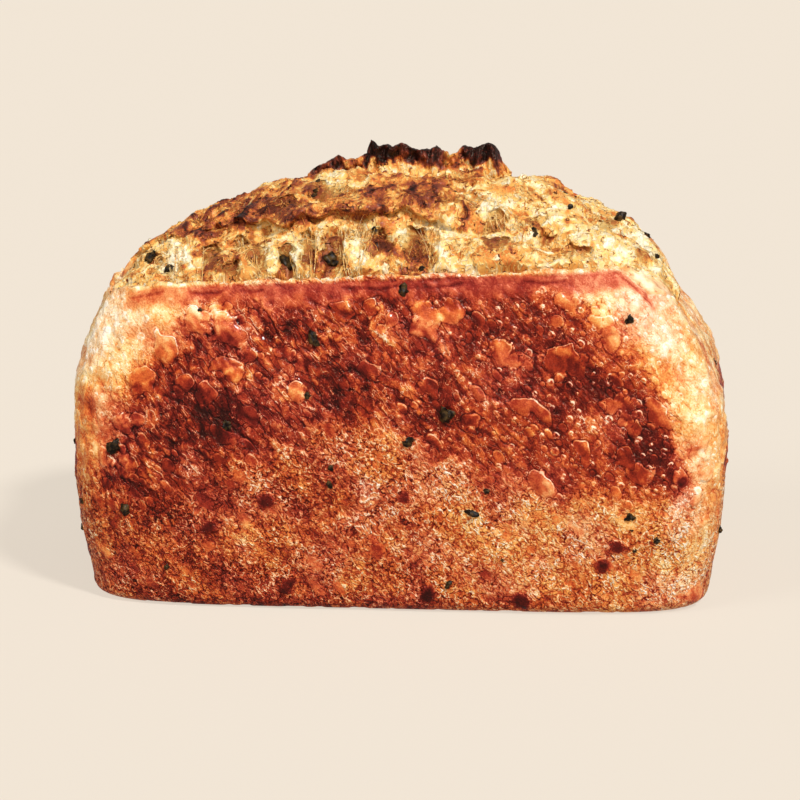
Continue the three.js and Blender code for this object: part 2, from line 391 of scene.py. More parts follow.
    def wall(self, s: Array, t: Array, q: Array) -> Array:
        """Points of the sides and of the base.

        Args:
            s: places along the loaf.
            t: places across it.
            q: places up it.

        Returns:
            The points.
        """
        top = self.shoulder_height + self.edge_lift(s, t)
        z = top * (q + 1.0) / 2.0
        share = self.corner_share(s, t)
        long = (self.base_length / 2, self.tin_length / 2, self.of_end(s, "shoulder"))
        wide = (self.base_width / 2, self.tin_width / 2, self.shoulder_depth)
        x = s * share * self.side_reach(z, top, long, self.of_end(s, "roll"))
        y = t * share * self.side_reach(z, top, wide, self.roll_power)
        return self.swollen(np.stack([x, y, z], -1), np.maximum(np.abs(s), np.abs(t)))

    def crown(self, s: Array, t: Array, stand: float) -> Array:
        """Points of the crown.

        Args:
            s: places along the loaf.
            t: places across it.
            stand: share of the plan to which the lip's height reaches in.

        Returns:
            The points.
        """
        share = self.corner_share(s, t)
        x = s * share * self.of_end(s, "shoulder")
        y = t * share * self.shoulder_depth
        rim = np.maximum(np.abs(s), np.abs(t))
        lift = ease(stand, 1.0, rim) * self.edge_lift(s, t)
        z = self.shoulder_height + lift + self.rise(s, t, x)
        return self.swollen(np.stack([x, y, z], -1), rim)

    def frayed(self, s: Array) -> Array:
        """How far the tear's back edge has come forward at places along the loaf."""
        return self.fray * self.fray_pattern.along(s * PLAN_HALF[0]) + self.narrowing * s * s


@dataclass(frozen=True)
class Spot:
    """An oval place in the picture: middle and half sizes in pixels, strength, and lean in degrees."""

    x: float
    y: float
    wide: float
    tall: float
    amount: float
    lean: float = 0.0

    def reach(self, pixels: Array) -> Array:
        """Distance from the middle.

        Args:
            pixels: places in the picture.

        Returns:
            Distances, 1 at the oval's edge.
        """
        across, down = pixels[..., 0] - self.x, pixels[..., 1] - self.y
        turn = math.radians(self.lean)
        along = across * math.cos(turn) + down * math.sin(turn)
        aside = down * math.cos(turn) - across * math.sin(turn)
        return np.hypot(along / self.wide, aside / self.tall)

    def share(self, pixels: Array) -> Array:
        """1 at the middle, falling smoothly to 0 outside the edge."""
        return np.exp(-SPOT_FADE * self.reach(pixels) ** 2)


Spots = tuple[Spot, ...]


def spots(*rows: tuple[float, ...]) -> Spots:
    """Spots from rows of their numbers."""
    return tuple(Spot(*row) for row in rows)


def all_shares(marks: Spots, pixels: Array) -> Array:
    """Sum of the spots' shares at places in the picture, each times its strength."""
    return sum(mark.amount * mark.share(pixels) for mark in marks)


class Value:
    """A shader socket that takes part in Python arithmetic: each step adds a Math node."""

    def __init__(self, shader: "Shader", socket: bpy.types.NodeSocket) -> None:
        """Keeps the tree and the socket."""
        self.shader = shader
        self.socket = socket

    def __add__(self, other: "Value | float") -> "Value":
        """Sum."""
        return self.shader.math("ADD", self, other)

    __radd__ = __add__

    def __sub__(self, other: "Value | float") -> "Value":
        """Difference."""
        return self.shader.math("SUBTRACT", self, other)

    def __rsub__(self, other: "Value | float") -> "Value":
        """Difference the other way round."""
        return self.shader.math("SUBTRACT", other, self)

    def __mul__(self, other: "Value | float") -> "Value":
        """Product."""
        return self.shader.math("MULTIPLY", self, other)

    def __abs__(self) -> "Value":
        """Size without its sign."""
        return self.shader.math("ABSOLUTE", self, 0.0)


class Shader:
    """Node tree of one material, with the few nodes that every finish here uses."""

    strong: Span = (0.34, 0.66)  # part of the noise that is spread over its whole range
    puff: float = 0.13  # swing of the noise at which a puff is at its full height

    def __init__(self, name: str) -> None:
        """Starts an empty tree."""
        self.material = bpy.data.materials.new(name)
        self.material.use_nodes = True
        self.tree = self.material.node_tree
        self.tree.nodes.clear()

    def node(self, kind: str, settings: dict, sockets: dict, output: int = 0) -> Value:
        """Adds a node.

        Args:
            kind: node type without its ShaderNode prefix.
            settings: properties, set first; stops are a ramp's places and screen colours.
            sockets: values or links by socket name or number.
            output: number of the output that is handed back.

        Returns:
            That output.
        """
        made = self.tree.nodes.new("ShaderNode" + kind)
        for name, value in settings.items():
            if name == "stops":
                self.set_stops(made.color_ramp, value)
            else:
                setattr(made, name, value)
        for name, value in sockets.items():
            if isinstance(value, Value):
                self.tree.links.new(value.socket, made.inputs[name])
            else:
                made.inputs[name].default_value = value
        return Value(self, made.outputs[output])

    @staticmethod
    def set_stops(ramp: bpy.types.ColorRamp, stops: tuple) -> None:
        """Gives a ramp its places and colours.

        Args:
            ramp: the ramp.
            stops: places and screen colours.
        """
        while len(ramp.elements) < len(stops):
            ramp.elements.new(1.0)
        for element, (place, colour) in zip(ramp.elements, stops):
            element.position = place
            element.color = linear(colour)

    def math(self, operation: str, first: "Value | float", second: "Value | float") -> Value:
        """One Math node on two values."""
        return self.node("Math", {"operation": operation}, {0: first, 1: second})

    def attribute(self, name: str) -> Value:
        """A number that the mesh carries at each point."""
        return self.node("Attribute", {"attribute_name": name}, {}, 2)

    def place(self, turn: tuple = (0, 0, 0), stretch: tuple = (1, 1, 1)) -> Value:
        """Object coordinates, turned by radians and then drawn out by stretch."""
        inside = self.node("TexCoord", {}, {}, 3)
        sockets = {"Vector": inside, "Rotation": turn, "Scale": stretch}
        return self.node("Mapping", {"vector_type": "TEXTURE"}, sockets)

    def noise(self, place: Value, wave: float, detail: float = 2.0, twist: float = 0.0) -> Value:
        """Noise from 0 to 1 with a wavelength in millimetres."""
        sockets = {"Vector": place, "Scale": 1.0 / (wave * MM), "Detail": detail, "Distortion": twist}
        return self.node("TexNoise", {}, sockets)

    def strong_noise(self, place: Value, wave: float, detail: float = 2.0, twist: float = 0.0) -> Value:
        """Noise from -0.5 to 0.5 that reaches both ends often."""
        return self.step(self.noise(place, wave, detail, twist), *self.strong) - 0.5

    def cells(self, place: Value, size: float) -> Value:
        """Distance to the nearest cell middle, in cells; the node also gives its colour and its place."""
        return self.node("TexVoronoi", {}, {"Vector": place, "Scale": 1.0 / (size * MM)})

    def beside(self, value: Value, output: int) -> Value:
        """Another output of the node that a value comes from."""
        return Value(self, value.socket.node.outputs[output])

    def toward(self, first: Value, second: Value, way: tuple) -> Value:
        """How far the first place lies from the second along a direction."""
        apart = self.node("VectorMath", {"operation": "SUBTRACT"}, {0: first, 1: second})
        return self.node("VectorMath", {"operation": "DOT_PRODUCT"}, {0: apart, 1: way}, 1)

    def swing(self, place: Value, wave: float, detail: float = 1.0, twist: float = 0.0) -> Value:
        """How far noise of a wavelength in millimetres swings to either side: 0 along winding lines."""
        return abs(self.noise(place, wave, detail, twist) - 0.5)

    def veins(self, place: Value, wave: float, width: float, twist: float = 0.0) -> Value:
        """1 along thin winding lines and 0 between them."""
        return self.step(self.swing(place, wave, 1.0, twist), width, 0.0)

    def puffs(self, place: Value, wave: float) -> Value:
        """Rounded puffs that meet in sharp gaps: 0 in the gaps and 1 on the puffs."""
        return self.step(self.swing(place, wave, 0.0), 0.0, self.puff)

    def warped(self, place: Value, wave: float, amount: float) -> Value:
        """Coordinates moved about by noise.

        Args:
            place: the coordinates.
            wave: the noise's wavelength in millimetres.
            amount: how far it moves them, in millimetres.

        Returns:
            The moved coordinates.
        """
        drift = self.node("TexNoise", {}, {"Vector": place, "Scale": 1.0 / (wave * MM)}, 1)
        sockets = {0: drift, 1: (amount * MM,) * 3, 2: place}
        return self.node("VectorMath", {"operation": "MULTIPLY_ADD"}, sockets)

    def step(self, value: Value, low: float, high: float) -> Value:
        """Smooth rise from 0 to 1.

        Args:
            value: number to look up.
            low: where the rise starts; it may lie above high for a fall.
            high: where it ends.

        Returns:
            The share.
        """
        ends = (low, high, 0.0, 1.0) if low < high else (high, low, 1.0, 0.0)
        names = ("From Min", "From Max", "To Min", "To Max")
        sockets = {"Value": value, **dict(zip(names, ends))}
        return self.node("MapRange", {"interpolation_type": "SMOOTHSTEP"}, sockets)

    def ramp(self, stops: tuple, place: Value) -> Value:
        """Colour at a place along stops."""
        return self.node("ValToRGB", {"stops": stops}, {"Fac": place})

    def mix(self, share: "Value | float", first: "Value | tuple", second: "Value | tuple") -> Value:
        """Mixture of two colours."""
        return self.node("Mix", {"data_type": "RGBA"}, {0: share, 6: first, 7: second}, 2)

    def bump(self, height: Value, size: float) -> Value:
        """Normal of a relief whose height of 1 stands for a size in millimetres."""
        return self.node("Bump", {}, {"Height": height, "Distance": size * MM, "Strength": 1.0})

    def finish(self, sockets: dict) -> Material:
        """Ends the tree in a principled surface.

        Args:
            sockets: the surface's values or links by socket name.

        Returns:
            The material.
        """
        made = self.tree.nodes.new("ShaderNodeOutputMaterial")
        surface = self.node("BsdfPrincipled", {}, sockets)
        self.tree.links.new(surface.socket, made.inputs["Surface"])
        return self.material


@dataclass(frozen=True)
class CrustFinish:
    """Baked crust: colour by how far it is toasted, pebbled where it lay on the tin, else a glossy film,
    with painted highlights and painted shade on its relief.
    """

    amber: tuple = (
        (0.0, (254, 242, 212)), (0.15, (248, 214, 150)), (0.30, (232, 160, 82)), (0.45, (206, 98, 44)),
        (0.60, (152, 46, 23)), (0.75, (98, 22, 14)), (0.90, (66, 15, 10)), (1.0, (44, 12, 9)),
    )
    # The rosy ramp gives the blush and also the tone of the painted highlights.
    rosy: tuple = (
        (0.0, (253, 234, 216)), (0.15, (248, 200, 162)), (0.30, (228, 146, 106)), (0.45, (194, 86, 60)),
        (0.60, (144, 43, 34)), (0.75, (94, 21, 20)), (0.90, (64, 14, 13)), (1.0, (44, 12, 11)),
    )
    flow: float = math.radians(50.0)
    sheen: tuple = (1.0, 0.5, 0.34, 1.0)
    pebble_wave: float = 1.7
    fold_wave: float = 3.2
    bubble_size: float = 4.4
    froth_size: float = 2.3
    light: Triple = (0.5, -0.3, 0.81)  # side of a bubble whose rim gets a painted highlight
    # colour of the painted glints on the bubbles' lit side
    glint: Triple = (255, 226, 192)
    warp_wave: float = 2.4
    warp: float = 1.5

    def bubbles(self, shader: Shader, size: float, share: float) -> tuple[Value, Value, Value]:
        """Round bubbles in some cells of a size.

        Args:
            shader: the tree.
            size: size of a cell in millimetres.
            share: share of the cells that have one.

        Returns:
            Shares of the rims, of the rims' lit side, which gets a painted highlight, and of the domes.
        """
        place = shader.warped(shader.place(), size * 0.6, size * 0.25)
        reach = shader.cells(place, size)
        pick = shader.node("SeparateColor", {}, {"Color": shader.beside(reach, 1)})
        chosen = shader.step(pick, 1.0 - share, 1.02 - share)
        radius = shader.beside(pick, 1) * 0.16 + 0.16
        toward = shader.toward(place, shader.beside(reach, 2), self.light) * (1.0 / (size * MM * 0.24))
        rim = shader.step(abs(reach - radius), 0.42 / size, 0.1 / size) * chosen
        dome = shader.step(reach - radius, 0.05, -0.12) * chosen
        return rim, rim * shader.step(toward, 0.0, 0.9), dome

    def material(self) -> Material:
        """Builds the material.

        Returns:
            The walls' and the body's skin.
        """
        shader = Shader("crust_baked")
        names = ("toast", "grain", "film", "blush", "calm", "edge", "lit", "drag")
        toast, grain, film, blush, calm, edge, lit, drag = (shader.attribute(name) for name in names)
        uneven = film * (1.0 - calm * 0.85)
        place = shader.place()
        turn = (0.0, self.flow, 0.0)
        drawn = shader.warped(shader.place(turn, (1.5, 1.0, 1.0)), self.warp_wave, self.warp)
        pebble = shader.puffs(drawn, self.pebble_wave) * 0.6
        pebble = pebble + shader.puffs(drawn, self.pebble_wave * 0.48) * 0.4
        broken = shader.step(shader.noise(drawn, 1.6, 1.0), 0.42, 0.54)
        # Bright veins: raised lines painted lighter, a painted highlight on the grain.
        bright = shader.veins(drawn, 1.4, 0.08) * broken
        # Dark veins: sunk lines with painted shade in them.
        dark = shader.veins(shader.warped(place, 1.8, 1.2), 1.6, 0.07) * (1.15 - broken)
        here = shader.step(shader.noise(place, 9.0, 2.0), 0.45, 0.6)
        marks = grain * (0.55 + here * 0.45) + uneven * 0.3
        # Painted highlight along the lit part of the blisters' rims.
        rim = shader.step(abs(edge + 0.2), 0.3, 0.05) * lit
        # Painted shade in a thin ring at the foot of each blister.
        outline = shader.step(abs(edge - 0.22), 0.3, 0.05) * film
        fine = shader.strong_noise(place, 0.55, 2.0)
        cloud = shader.strong_noise(place, 4.5, 3.0, 0.6)
        drawn_out = shader.warped(shader.place(turn, (2.4, 1.0, 1.0)), 4.0, 2.0)
        fold = shader.puffs(drawn_out, self.fold_wave)
        # Wrinkles: raised lines painted lighter, a painted highlight.
        wrinkle = shader.veins(drawn_out, 2.4, 0.04) * here * uneven * drag
        # Creases: sunk lines with painted shade in them.
        crease = shader.veins(shader.place(turn, (2.6, 1.0, 1.0)), 3.6, 0.035, 0.6) * (1.0 - here)
        crease = crease * (uneven + grain * 0.7) * drag
        large = self.bubbles(shader, self.bubble_size, 0.5)
        small = self.bubbles(shader, self.froth_size, 0.28)
        loose = uneven * (1.1 - drag)
        ring, shine, bubble = ((first * 0.8 + second * 0.8) * loose for first, second in zip(large, small))
        # Glint lines: thin strokes of painted highlight on the film.
        glint_lines = shader.veins(drawn, 1.2, 0.03)
        glint_lines = glint_lines * shader.step(shader.noise(place, 2.2, 1.0), 0.52, 0.6) * uneven
        # Painted shade and light: the gaps between puffs and between folds darker, their tops paler.
        toast = toast - (pebble - 0.6) * 0.22 * grain - (fold - 0.6) * 0.14 * uneven * (drag * 0.6 + 0.4)
        # Painted light, summed from the highlights on veins, wrinkles, blister rims, bubble rings and their
        # lit sides, and glint lines: it pales the tone and turns it rosy.
        light = bright * marks * 0.37 + wrinkle * 0.3 + rim * 0.44
        light = light + ring * 0.28 + shine * 0.32 + glint_lines * 0.42
        # Painted shade of the dark veins here, and of the creases and the blisters' feet on the next line.
        toast = toast + dark * 0.32 * marks - fine * 0.06 - cloud * (0.12 - grain * 0.05) - bubble * 0.05
        toast = toast + crease * 0.2 + outline * 0.14 - light
        share = blush + light * 2.0
        colour = shader.mix(share, shader.ramp(self.amber, toast), shader.ramp(self.rosy, toast))
        # Painted glints: the lit side of the bubbles' rims is mixed towards the glint colour.
        colour = shader.mix(shader.step(shine, 0.3, 0.7) * 0.65, colour, linear(self.glint))
        height = pebble * grain * 0.5 + fold * uneven * 0.4 + wrinkle * 0.2 - crease * 0.3 + bubble * 0.4
        height = height + (bright * 0.3 - dark * 0.35) * marks + glint_lines * 0.1
        return shader.finish({
            "Base Color": colour,
            "Roughness": 0.38 - film * 0.2 + fine * 0.1,
            "Normal": shader.bump(height + fine * 0.05, 1.0),
            "Coat Weight": film * film * 0.2,
            "Coat Roughness": 0.1,
            "Specular IOR Level": 0.3,
            "Specular Tint": self.sheen,
        })


@dataclass(frozen=True)
class CrumbFinish:
    """Torn crumb: pale and fibrous, browned where it stood out into the heat, with painted shade in its
    hollows and cracks.
    """

    stops: tuple = (
        (0.0, (253, 240, 208)), (0.15, (250, 220, 152)), (0.30, (240, 182, 94)), (0.45, (212, 122, 54)),
        (0.60, (154, 72, 43)), (0.75, (106, 44, 31)), (0.88, (66, 26, 20)), (1.0, (26, 12, 9)),
    )
    # Ramp of the painted shade in hollows, darker than the crumb's own.
    hollow_shade_stops: tuple = (
        (0.0, (240, 222, 168)), (0.15, (224, 192, 122)), (0.30, (196, 148, 78)), (0.45, (156, 96, 46)),
        (0.60, (118, 56, 28)), (0.75, (82, 35, 21)), (0.88, (48, 20, 14)), (1.0, (20, 10, 8)),
    )
    skin_stops: tuple = (
        (0.0, (252, 234, 206)), (0.15, (247, 207, 158)), (0.30, (230, 158, 102)), (0.45, (194, 96, 60)),
        (0.70, (110, 40, 32)),
    )

    def material(self) -> Material:
        """Builds the material.

        Returns:
            The crumb's, the ear's and the strands' surface.
        """
        shader = Shader("crumb_torn")
        names = ("toast", "hollow", "skin", "edge")
        toast, hollow, skin, edge = (shader.attribute(name) for name in names)
        open_crumb = 1.0 - skin
        place = shader.place()
        warped = shader.warped(shader.place((0.5, 0.0, 0.0), (1.0, 1.0, 3.4)), 3.0, 1.8)
        strand = shader.veins(warped, 1.6, 0.05) * open_crumb
        broken = shader.step(shader.noise(place, 2.6, 1.0), 0.54, 0.6)
        # Cracks: sunk lines with painted shade in them.
        crack = shader.veins(shader.warped(place, 2.4, 1.8), 2.4, 0.035) * broken * (1.0 - skin * 0.6)
        torn = shader.step(shader.noise(place, 3.0, 1.0), 0.4, 0.55)
        web = shader.step(abs(edge + 0.05), 0.42, 0.06) * torn * open_crumb
        fine = shader.strong_noise(place, 0.7, 2.0, 0.8)
        cloud = shader.strong_noise(place, 3.2, 2.0, 0.5)
        toast = toast - strand * 0.18 + crack * 0.42 - web * 0.18
        toast = toast - fine * 0.05 - cloud * 0.08
        # Painted shade: the hollow share, and the cracks, mix in the hollows' darker ramp.
        colour = shader.mix(
            hollow + crack * 0.4 - web * 0.5,
            shader.ramp(self.stops, toast),
            shader.ramp(self.hollow_shade_stops, toast),
        )
        colour = shader.mix(skin, colour, shader.ramp(self.skin_stops, toast))
        height = strand * 0.25 + web * 0.35 - crack * 0.4 + fine * 0.06
        return shader.finish({
            "Base Color": colour,
            "Roughness": 0.36 + fine * 0.12,
            "Normal": shader.bump(height, 1.0),
            "Specular IOR Level": 0.35,
            "Specular Tint": (1.0, 0.8, 0.62, 1.0),
        })


@dataclass(frozen=True)
class BitFinish:
    """A small baked-in bit: two tones over a waxy skin."""

    name: str
    dark: Triple
    light: Triple
    roughness: float = 0.4
    unevenness: float = 0.25
    tone_noise: Span = (1.6, 3.0)  # wave and detail
    tone_span: Span = (0.42, 0.68)
    fine_wave: float = 0.5
    relief: float = 0.2

    def material(self) -> Material:
        """Builds the material.

        Returns:
            The bits' skin.
        """
        shader = Shader(self.name)
        place = shader.place()
        share = shader.step(shader.noise(place, *self.tone_noise), *self.tone_span)
        fine = shader.noise(place, self.fine_wave)
        return shader.finish({
            "Base Color": shader.mix(share, linear(self.dark), linear(self.light)),
            "Roughness": self.roughness + (fine - 0.5) * self.unevenness,
            "Normal": shader.bump(fine, self.relief),
            "Specular IOR Level": 0.2,
        })


JALAPENO_FINISH = BitFinish("jalapeno_charred", (20, 13, 8), (80, 58, 28))
CHEESE_FINISH = BitFinish("cheese_melted", (232, 205, 150), (250, 238, 205))


def show_piece(name: str, mesh: Mesh, material: Material, values: dict[str, Array]) -> Object:
    """Makes a mesh in millimetres a piece of the loaf.

    Args:
        name: name of the piece.
        mesh: its shape.
        material: its finish.
        values: numbers that the mesh carries at each point, by name.

    Returns:
        The piece, riding on the loaf's body in place of its solid.
    """
    mesh.transform(Matrix.Scale(MM, 4))
    mesh.shade_smooth()
    for key, numbers in values.items():
        carried = mesh.attributes.new(key, "FLOAT", "POINT")
        padded = np.zeros(len(mesh.vertices), np.float32)
        padded[: numbers.size] = numbers.ravel()
        carried.data.foreach_set("value", padded)
    mesh.materials.append(material)
    piece = bpy.data.objects.new(name, mesh)
    bpy.context.scene.collection.objects.link(piece)
    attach(piece, "root")
    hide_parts("loaf")
    return piece


def mesh_of(name: str, bm: BMesh) -> Mesh:
    """Makes a mesh of a finished bmesh, with its faces turned outwards, and frees the bmesh.

    Args:
        name: name of the mesh.
        bm: the bmesh.

    Returns:
        The mesh.
    """
    bmesh.ops.recalc_face_normals(bm, faces=bm.faces)
    mesh = bpy.data.meshes.new(name)
    bm.to_mesh(mesh)
    bm.free()
    return mesh


def grid_box(cells: tuple[int, int, int]) -> BMesh:
    """A cube from -1 to 1 with its faces cut into cells.

    Args:
        cells: how many there are along X, Y and Z.

    Returns:
        The cube.
    """
    bm = bmesh.new()
    bmesh.ops.create_cube(bm, size=2.0)
    for axis, count in enumerate(cells):
        along = [e for e in bm.edges if abs(e.verts[0].co[axis] - e.verts[1].co[axis]) > SNAP]
        bmesh.ops.subdivide_edges(bm, edges=along, cuts=count - 1, use_grid_fill=True)
    return bm


def places(bm: BMesh) -> Array:
    """Where the points of a bmesh are, one row each."""
    return np.array([v.co for v in bm.verts])


def move_to(bm: BMesh, points: Array) -> None:
    """Moves the first points of a bmesh and brings its normals up to date.

    Args:
        bm: the bmesh.
        points: where they go.
    """
    for vertex, point in zip(bm.verts, points.reshape(-1, 3).tolist()):
        vertex.co = point
    bm.normal_update()


def grid_normals(grid: Array) -> Array:
    """Normals of a grid of points, outward where its columns run round the loaf and its rows run up."""
    up, across = np.gradient(grid, axis=(0, 1))
    return unit(np.cross(across, up))


def blurred(grid: Array, cells: int) -> Array:
    """Mean of a grid's values around each point.

    Args:
        grid: the values.
        cells: how many cells to each side the mean takes in.

    Returns:
        The means.
    """
    wide = 2 * cells + 1
    for _ in range(2):
        sums = np.cumsum(np.pad(grid, ((cells + 1, cells), (0, 0)), mode="edge"), axis=0)
        grid = ((sums[wide:] - sums[:-wide]) / wide).T
    return grid


@dataclass(frozen=True)
class Dome:
    """A blister on the crust."""

    middle: Array
    flow: Array  # direction that it is drawn out along
    radius: float
    stretch: float
    height: float
    tone: float  # change of toast on top
    rim: float  # how bright the painted highlight on the lit part of its rim is, and how far its lit side is painted paler and its far side darker


@dataclass
class CrustSkin:
    """Relief and tone of the baked skin, worked out alike for every piece of the crust."""

    form: LoafForm
    view: View
    flow_fall: float = math.radians(50.0)  # fall of the creases from left to right
    flow_draw: float = 0.64  # how far patterns are drawn out along them
    arch_height: float = 122.0
    light: Triple = (0.5, -0.3, 0.8)  # side of a blister whose rim gets a painted highlight and which is painted paler, its far side painted darker
    blister_counts: tuple[int, int, int] = (190, 160, 420)  # in the glossy band, below it, tiny ones
    blister_kinds: tuple = (
        (1.1, 3.4, 0.2, (-0.08, 0.05), 1.0),
        (0.9, 2.2, 0.12, (-0.05, 0.08), 0.25),
        (0.6, 1.0, 0.35, (-0.06, 0.04), 0.9),
    )  # least and largest radius, height as a share of it, tones and brightness of the rim's painted highlight
    tear_back: float = 0.22  # where the tear ends behind the ridge
    domes: list[Dome] = field(default_factory=list)
    dark_spots: Spots = spots(
        (218, 426, 60, 36, 0.12, 20), (190, 385, 40, 20, 0.08, 40), (150, 470, 40, 40, 0.06),
        (225, 350, 40, 18, 0.10, 30), (330, 390, 34, 22, 0.06, 40), (300, 325, 24, 12, 0.10, 40),
        (430, 412, 40, 20, 0.10), (345, 405, 30, 16, 0.10), (560, 345, 44, 22, 0.12, 20),
        (600, 392, 44, 22, 0.10, 10), (480, 340, 60, 20, 0.06), (650, 450, 24, 42, 0.22, -30),
        (120, 520, 34, 60, 0.10), (92, 415, 26, 46, 0.24), (335, 545, 14, 30, 0.10, 20),
        (400, 603, 320, 12, 0.16),
    )
    # Pale patches; the ones at the far left (98, 325) and near the right top corner (600, 300) are painted
    # highlights.
    pale_spots: Spots = spots(
        (190, 312, 56, 18, 0.09, 10), (250, 330, 34, 10, 0.10, 25), (380, 440, 44, 18, 0.06),
        (490, 452, 70, 22, 0.06), (672, 562, 30, 34, 0.08), (600, 300, 40, 22, 0.05, 25),
        (700, 470, 14, 50, 0.10), (677, 505, 7, 20, 0.22, 40), (364, 486, 9, 13, 0.2, -10),
        (370, 503, 7, 5, 0.14), (243, 541, 8, 7, 0.1), (243, 557, 7, 6, 0.14), (346, 584, 9, 8, 0.12),
        (395, 550, 4, 8, 0.18), (380, 500, 60, 12, 0.06, 50), (470, 520, 70, 14, 0.05, 50),
        (560, 520, 60, 12, 0.05, 50), (460, 288, 12, 8, 0.22), (98, 325, 24, 50, 0.18),
        (690, 395, 30, 60, 0.06), (600, 500, 60, 36, 0.04),
    )
    # Rosy patches; the first two, at the right top corner, are a painted highlight.
    rosy_spots: Spots = spots(
        (660, 300, 46, 40, 0.7), (600, 272, 40, 14, 0.7), (480, 284, 160, 12, 0.5),
        (280, 288, 90, 8, 0.5), (680, 503, 8, 22, 0.6, 40), (364, 486, 9, 13, 0.7, -10),
        (243, 549, 8, 14, 0.6), (395, 550, 4, 8, 0.6),
    )
    big_blisters: Spots = spots(
        (424, 320, 17, 14, -0.12, 20), (452, 313, 12, 13, -0.12), (404, 290, 15, 10, -0.12),
        (218, 311, 11, 9, -0.12), (196, 320, 17, 12, -0.08), (228, 327, 20, 12, -0.06, 20),
        (295, 393, 9, 9, -0.10), (610, 407, 9, 9, -0.16), (620, 422, 5, 5, -0.2),
        (632, 428, 10, 9, -0.12), (568, 300, 13, 11, -0.08), (555, 364, 14, 12, -0.10),
        (600, 317, 11, 9, -0.12), (612, 345, 9, 8, -0.10), (508, 356, 14, 10, -0.10),
        (165, 345, 16, 11, -0.06, 30), (340, 310, 12, 9, -0.10), (250, 355, 10, 8, -0.08, 40),
        (185, 384, 9, 9, -0.10), (267, 501, 8, 11, 0.42), (209, 527, 8, 10, 0.36),
        (287, 585, 7, 10, 0.38), (617, 547, 10, 8, 0.46), (600, 567, 8, 7, 0.46),
        (522, 600, 11, 9, 0.44), (426, 596, 8, 9, 0.40), (404, 498, 5, 7, 0.34),
        (697, 594, 12, 12, 0.16), (704, 440, 6, 11, 0.07), (694, 452, 5, 8, 0.10),
        (707, 474, 6, 13, 0.09), (696, 500, 5, 11, 0.10), (703, 522, 5, 9, 0.08), (683, 482, 5, 5, 0.30),
    )
    end_nub: tuple = (-1.0, 0.45, 0.9, 3.0, 3.4, 0.3)  # place on the form's cube, size, height and tone
    nubs: Spots = spots((78, 520, 3, 4, 1.2))

    def flow(self, normals: Array) -> Array:
        """Direction of the creases: down to the right along the wall.

        Args:
            normals: outward normals, one row each.

        Returns:
            Directions.
        """
        across = math.cos(self.flow_fall) / np.maximum(np.hypot(normals[:, 0], normals[:, 1]), 0.2)
        fall = np.full(len(normals), -math.sin(self.flow_fall))
        return np.stack([-normals[:, 1] * across, normals[:, 0] * across, fall], -1)

    def zones(self, points: Array, cube: Array) -> dict[str, Array]:
        """Wide areas of the skin.

        Args:
            points: places, one row each.
            cube: the same places on the form's cube.

        Returns:
            Shares of the pale corners, the glossy band and the crown, and the tone of all together.
        """
        s, t, q = cube.T
        z = points[:, 2]
        on_end = (np.abs(s) > 1.0 - SNAP) & (np.abs(t) < 1.0 - SNAP)
        wander = Pattern(26.0, 3, 1).at(points)
        small = Pattern(9.0, 3, 2).at(points)
        across = np.where(on_end, ease(0.0, 0.85, np.abs(t)), np.abs(s))
        along = np.where(on_end, t, s) * PLAN_HALF[0]
        arch = np.hypot(across / 1.03, z / self.arch_height)
        arch += (0.06 + 0.06 * on_end) * wander + 0.04 * small + 0.45 * on_end * ease(48.0, 74.0, z)
        # Pale corners: crust that baked less, with a painted highlight where the light falls on the corners
        # as well.
        pale = ease(0.97, 1.12, arch)
        belt = ease(0.84, 0.98, arch)
        edge = 38.0 + 22.0 * np.exp(-(((along + 10) / 45) ** 2)) + 7.0 * wander + 4.0 * small
        band = ease(-8.0, 10.0, z - edge) * (1.0 - pale)
        lower = 0.585 - 0.085 * ease(-0.7, -0.1, s) - 0.10 * ease(0.05, 0.45, s)
        toast = blend(lower, 0.64, band) - 0.10 * belt * (1.0 - 0.6 * band) + 0.06 * wander + 0.07 * small
        toast = blend(toast, 0.23 + 0.03 * ease(0.2, 0.6, s) + 0.14 * small + 0.08 * wander, pale)
        crown = (q > 1.0 - SNAP) * ease(1.0, 0.82, np.maximum(np.abs(s), np.abs(t)))
        toast = blend(toast, 0.5 + 0.16 * wander + 0.12 * small, crown)
        return {"pale": pale, "band": np.maximum(band, 0.4 * crown), "crown": crown, "toast": toast}

    def blisters(self) -> list[Dome]:
        """All blisters, made at the first call.

        Returns:
            The large ones of the picture, then the seeded ones.
        """
        if self.domes:
            return self.domes
        draw = np.random.default_rng(SEED)
        share, height = np.meshgrid(np.linspace(0, 1, 240), np.linspace(-1, 1, 110))
        s, t = Wall.FRONT.plan(share)
        grid = self.form.wall(s, t, height)
        seats, facing = grid.reshape(-1, 3), grid_normals(grid).reshape(-1, 3)
        pixels = self.view.pixels(seats)
        scale = self.view.distance / self.view.focal
        for spot in self.big_blisters:
            nearest = np.argmin(np.hypot(*(pixels - (spot.x, spot.y)).T))
            radius = spot.tall * scale
            flow = self.flow(facing[nearest : nearest + 1])[0]
            # Painted highlight on the lit rim: bright on pale blisters, faint on dark spots.
            rim = 0.8 if spot.amount < 0.0 else 0.3
            stretch = spot.wide / spot.tall
            self.domes.append(Dome(seats[nearest], flow, radius, stretch, 0.2 * radius, spot.amount, rim))
        seat = self.form.wall(*np.array(self.end_nub[:3])[:, None])[0]
        size, height, tone = self.end_nub[3:]
        self.domes.append(Dome(seat, np.array([0.0, 0.0, 1.0]), size, 1.3, height, tone, 0.3))
        for wall in Wall:
            self.seed_blisters(wall, draw)
        return self.domes

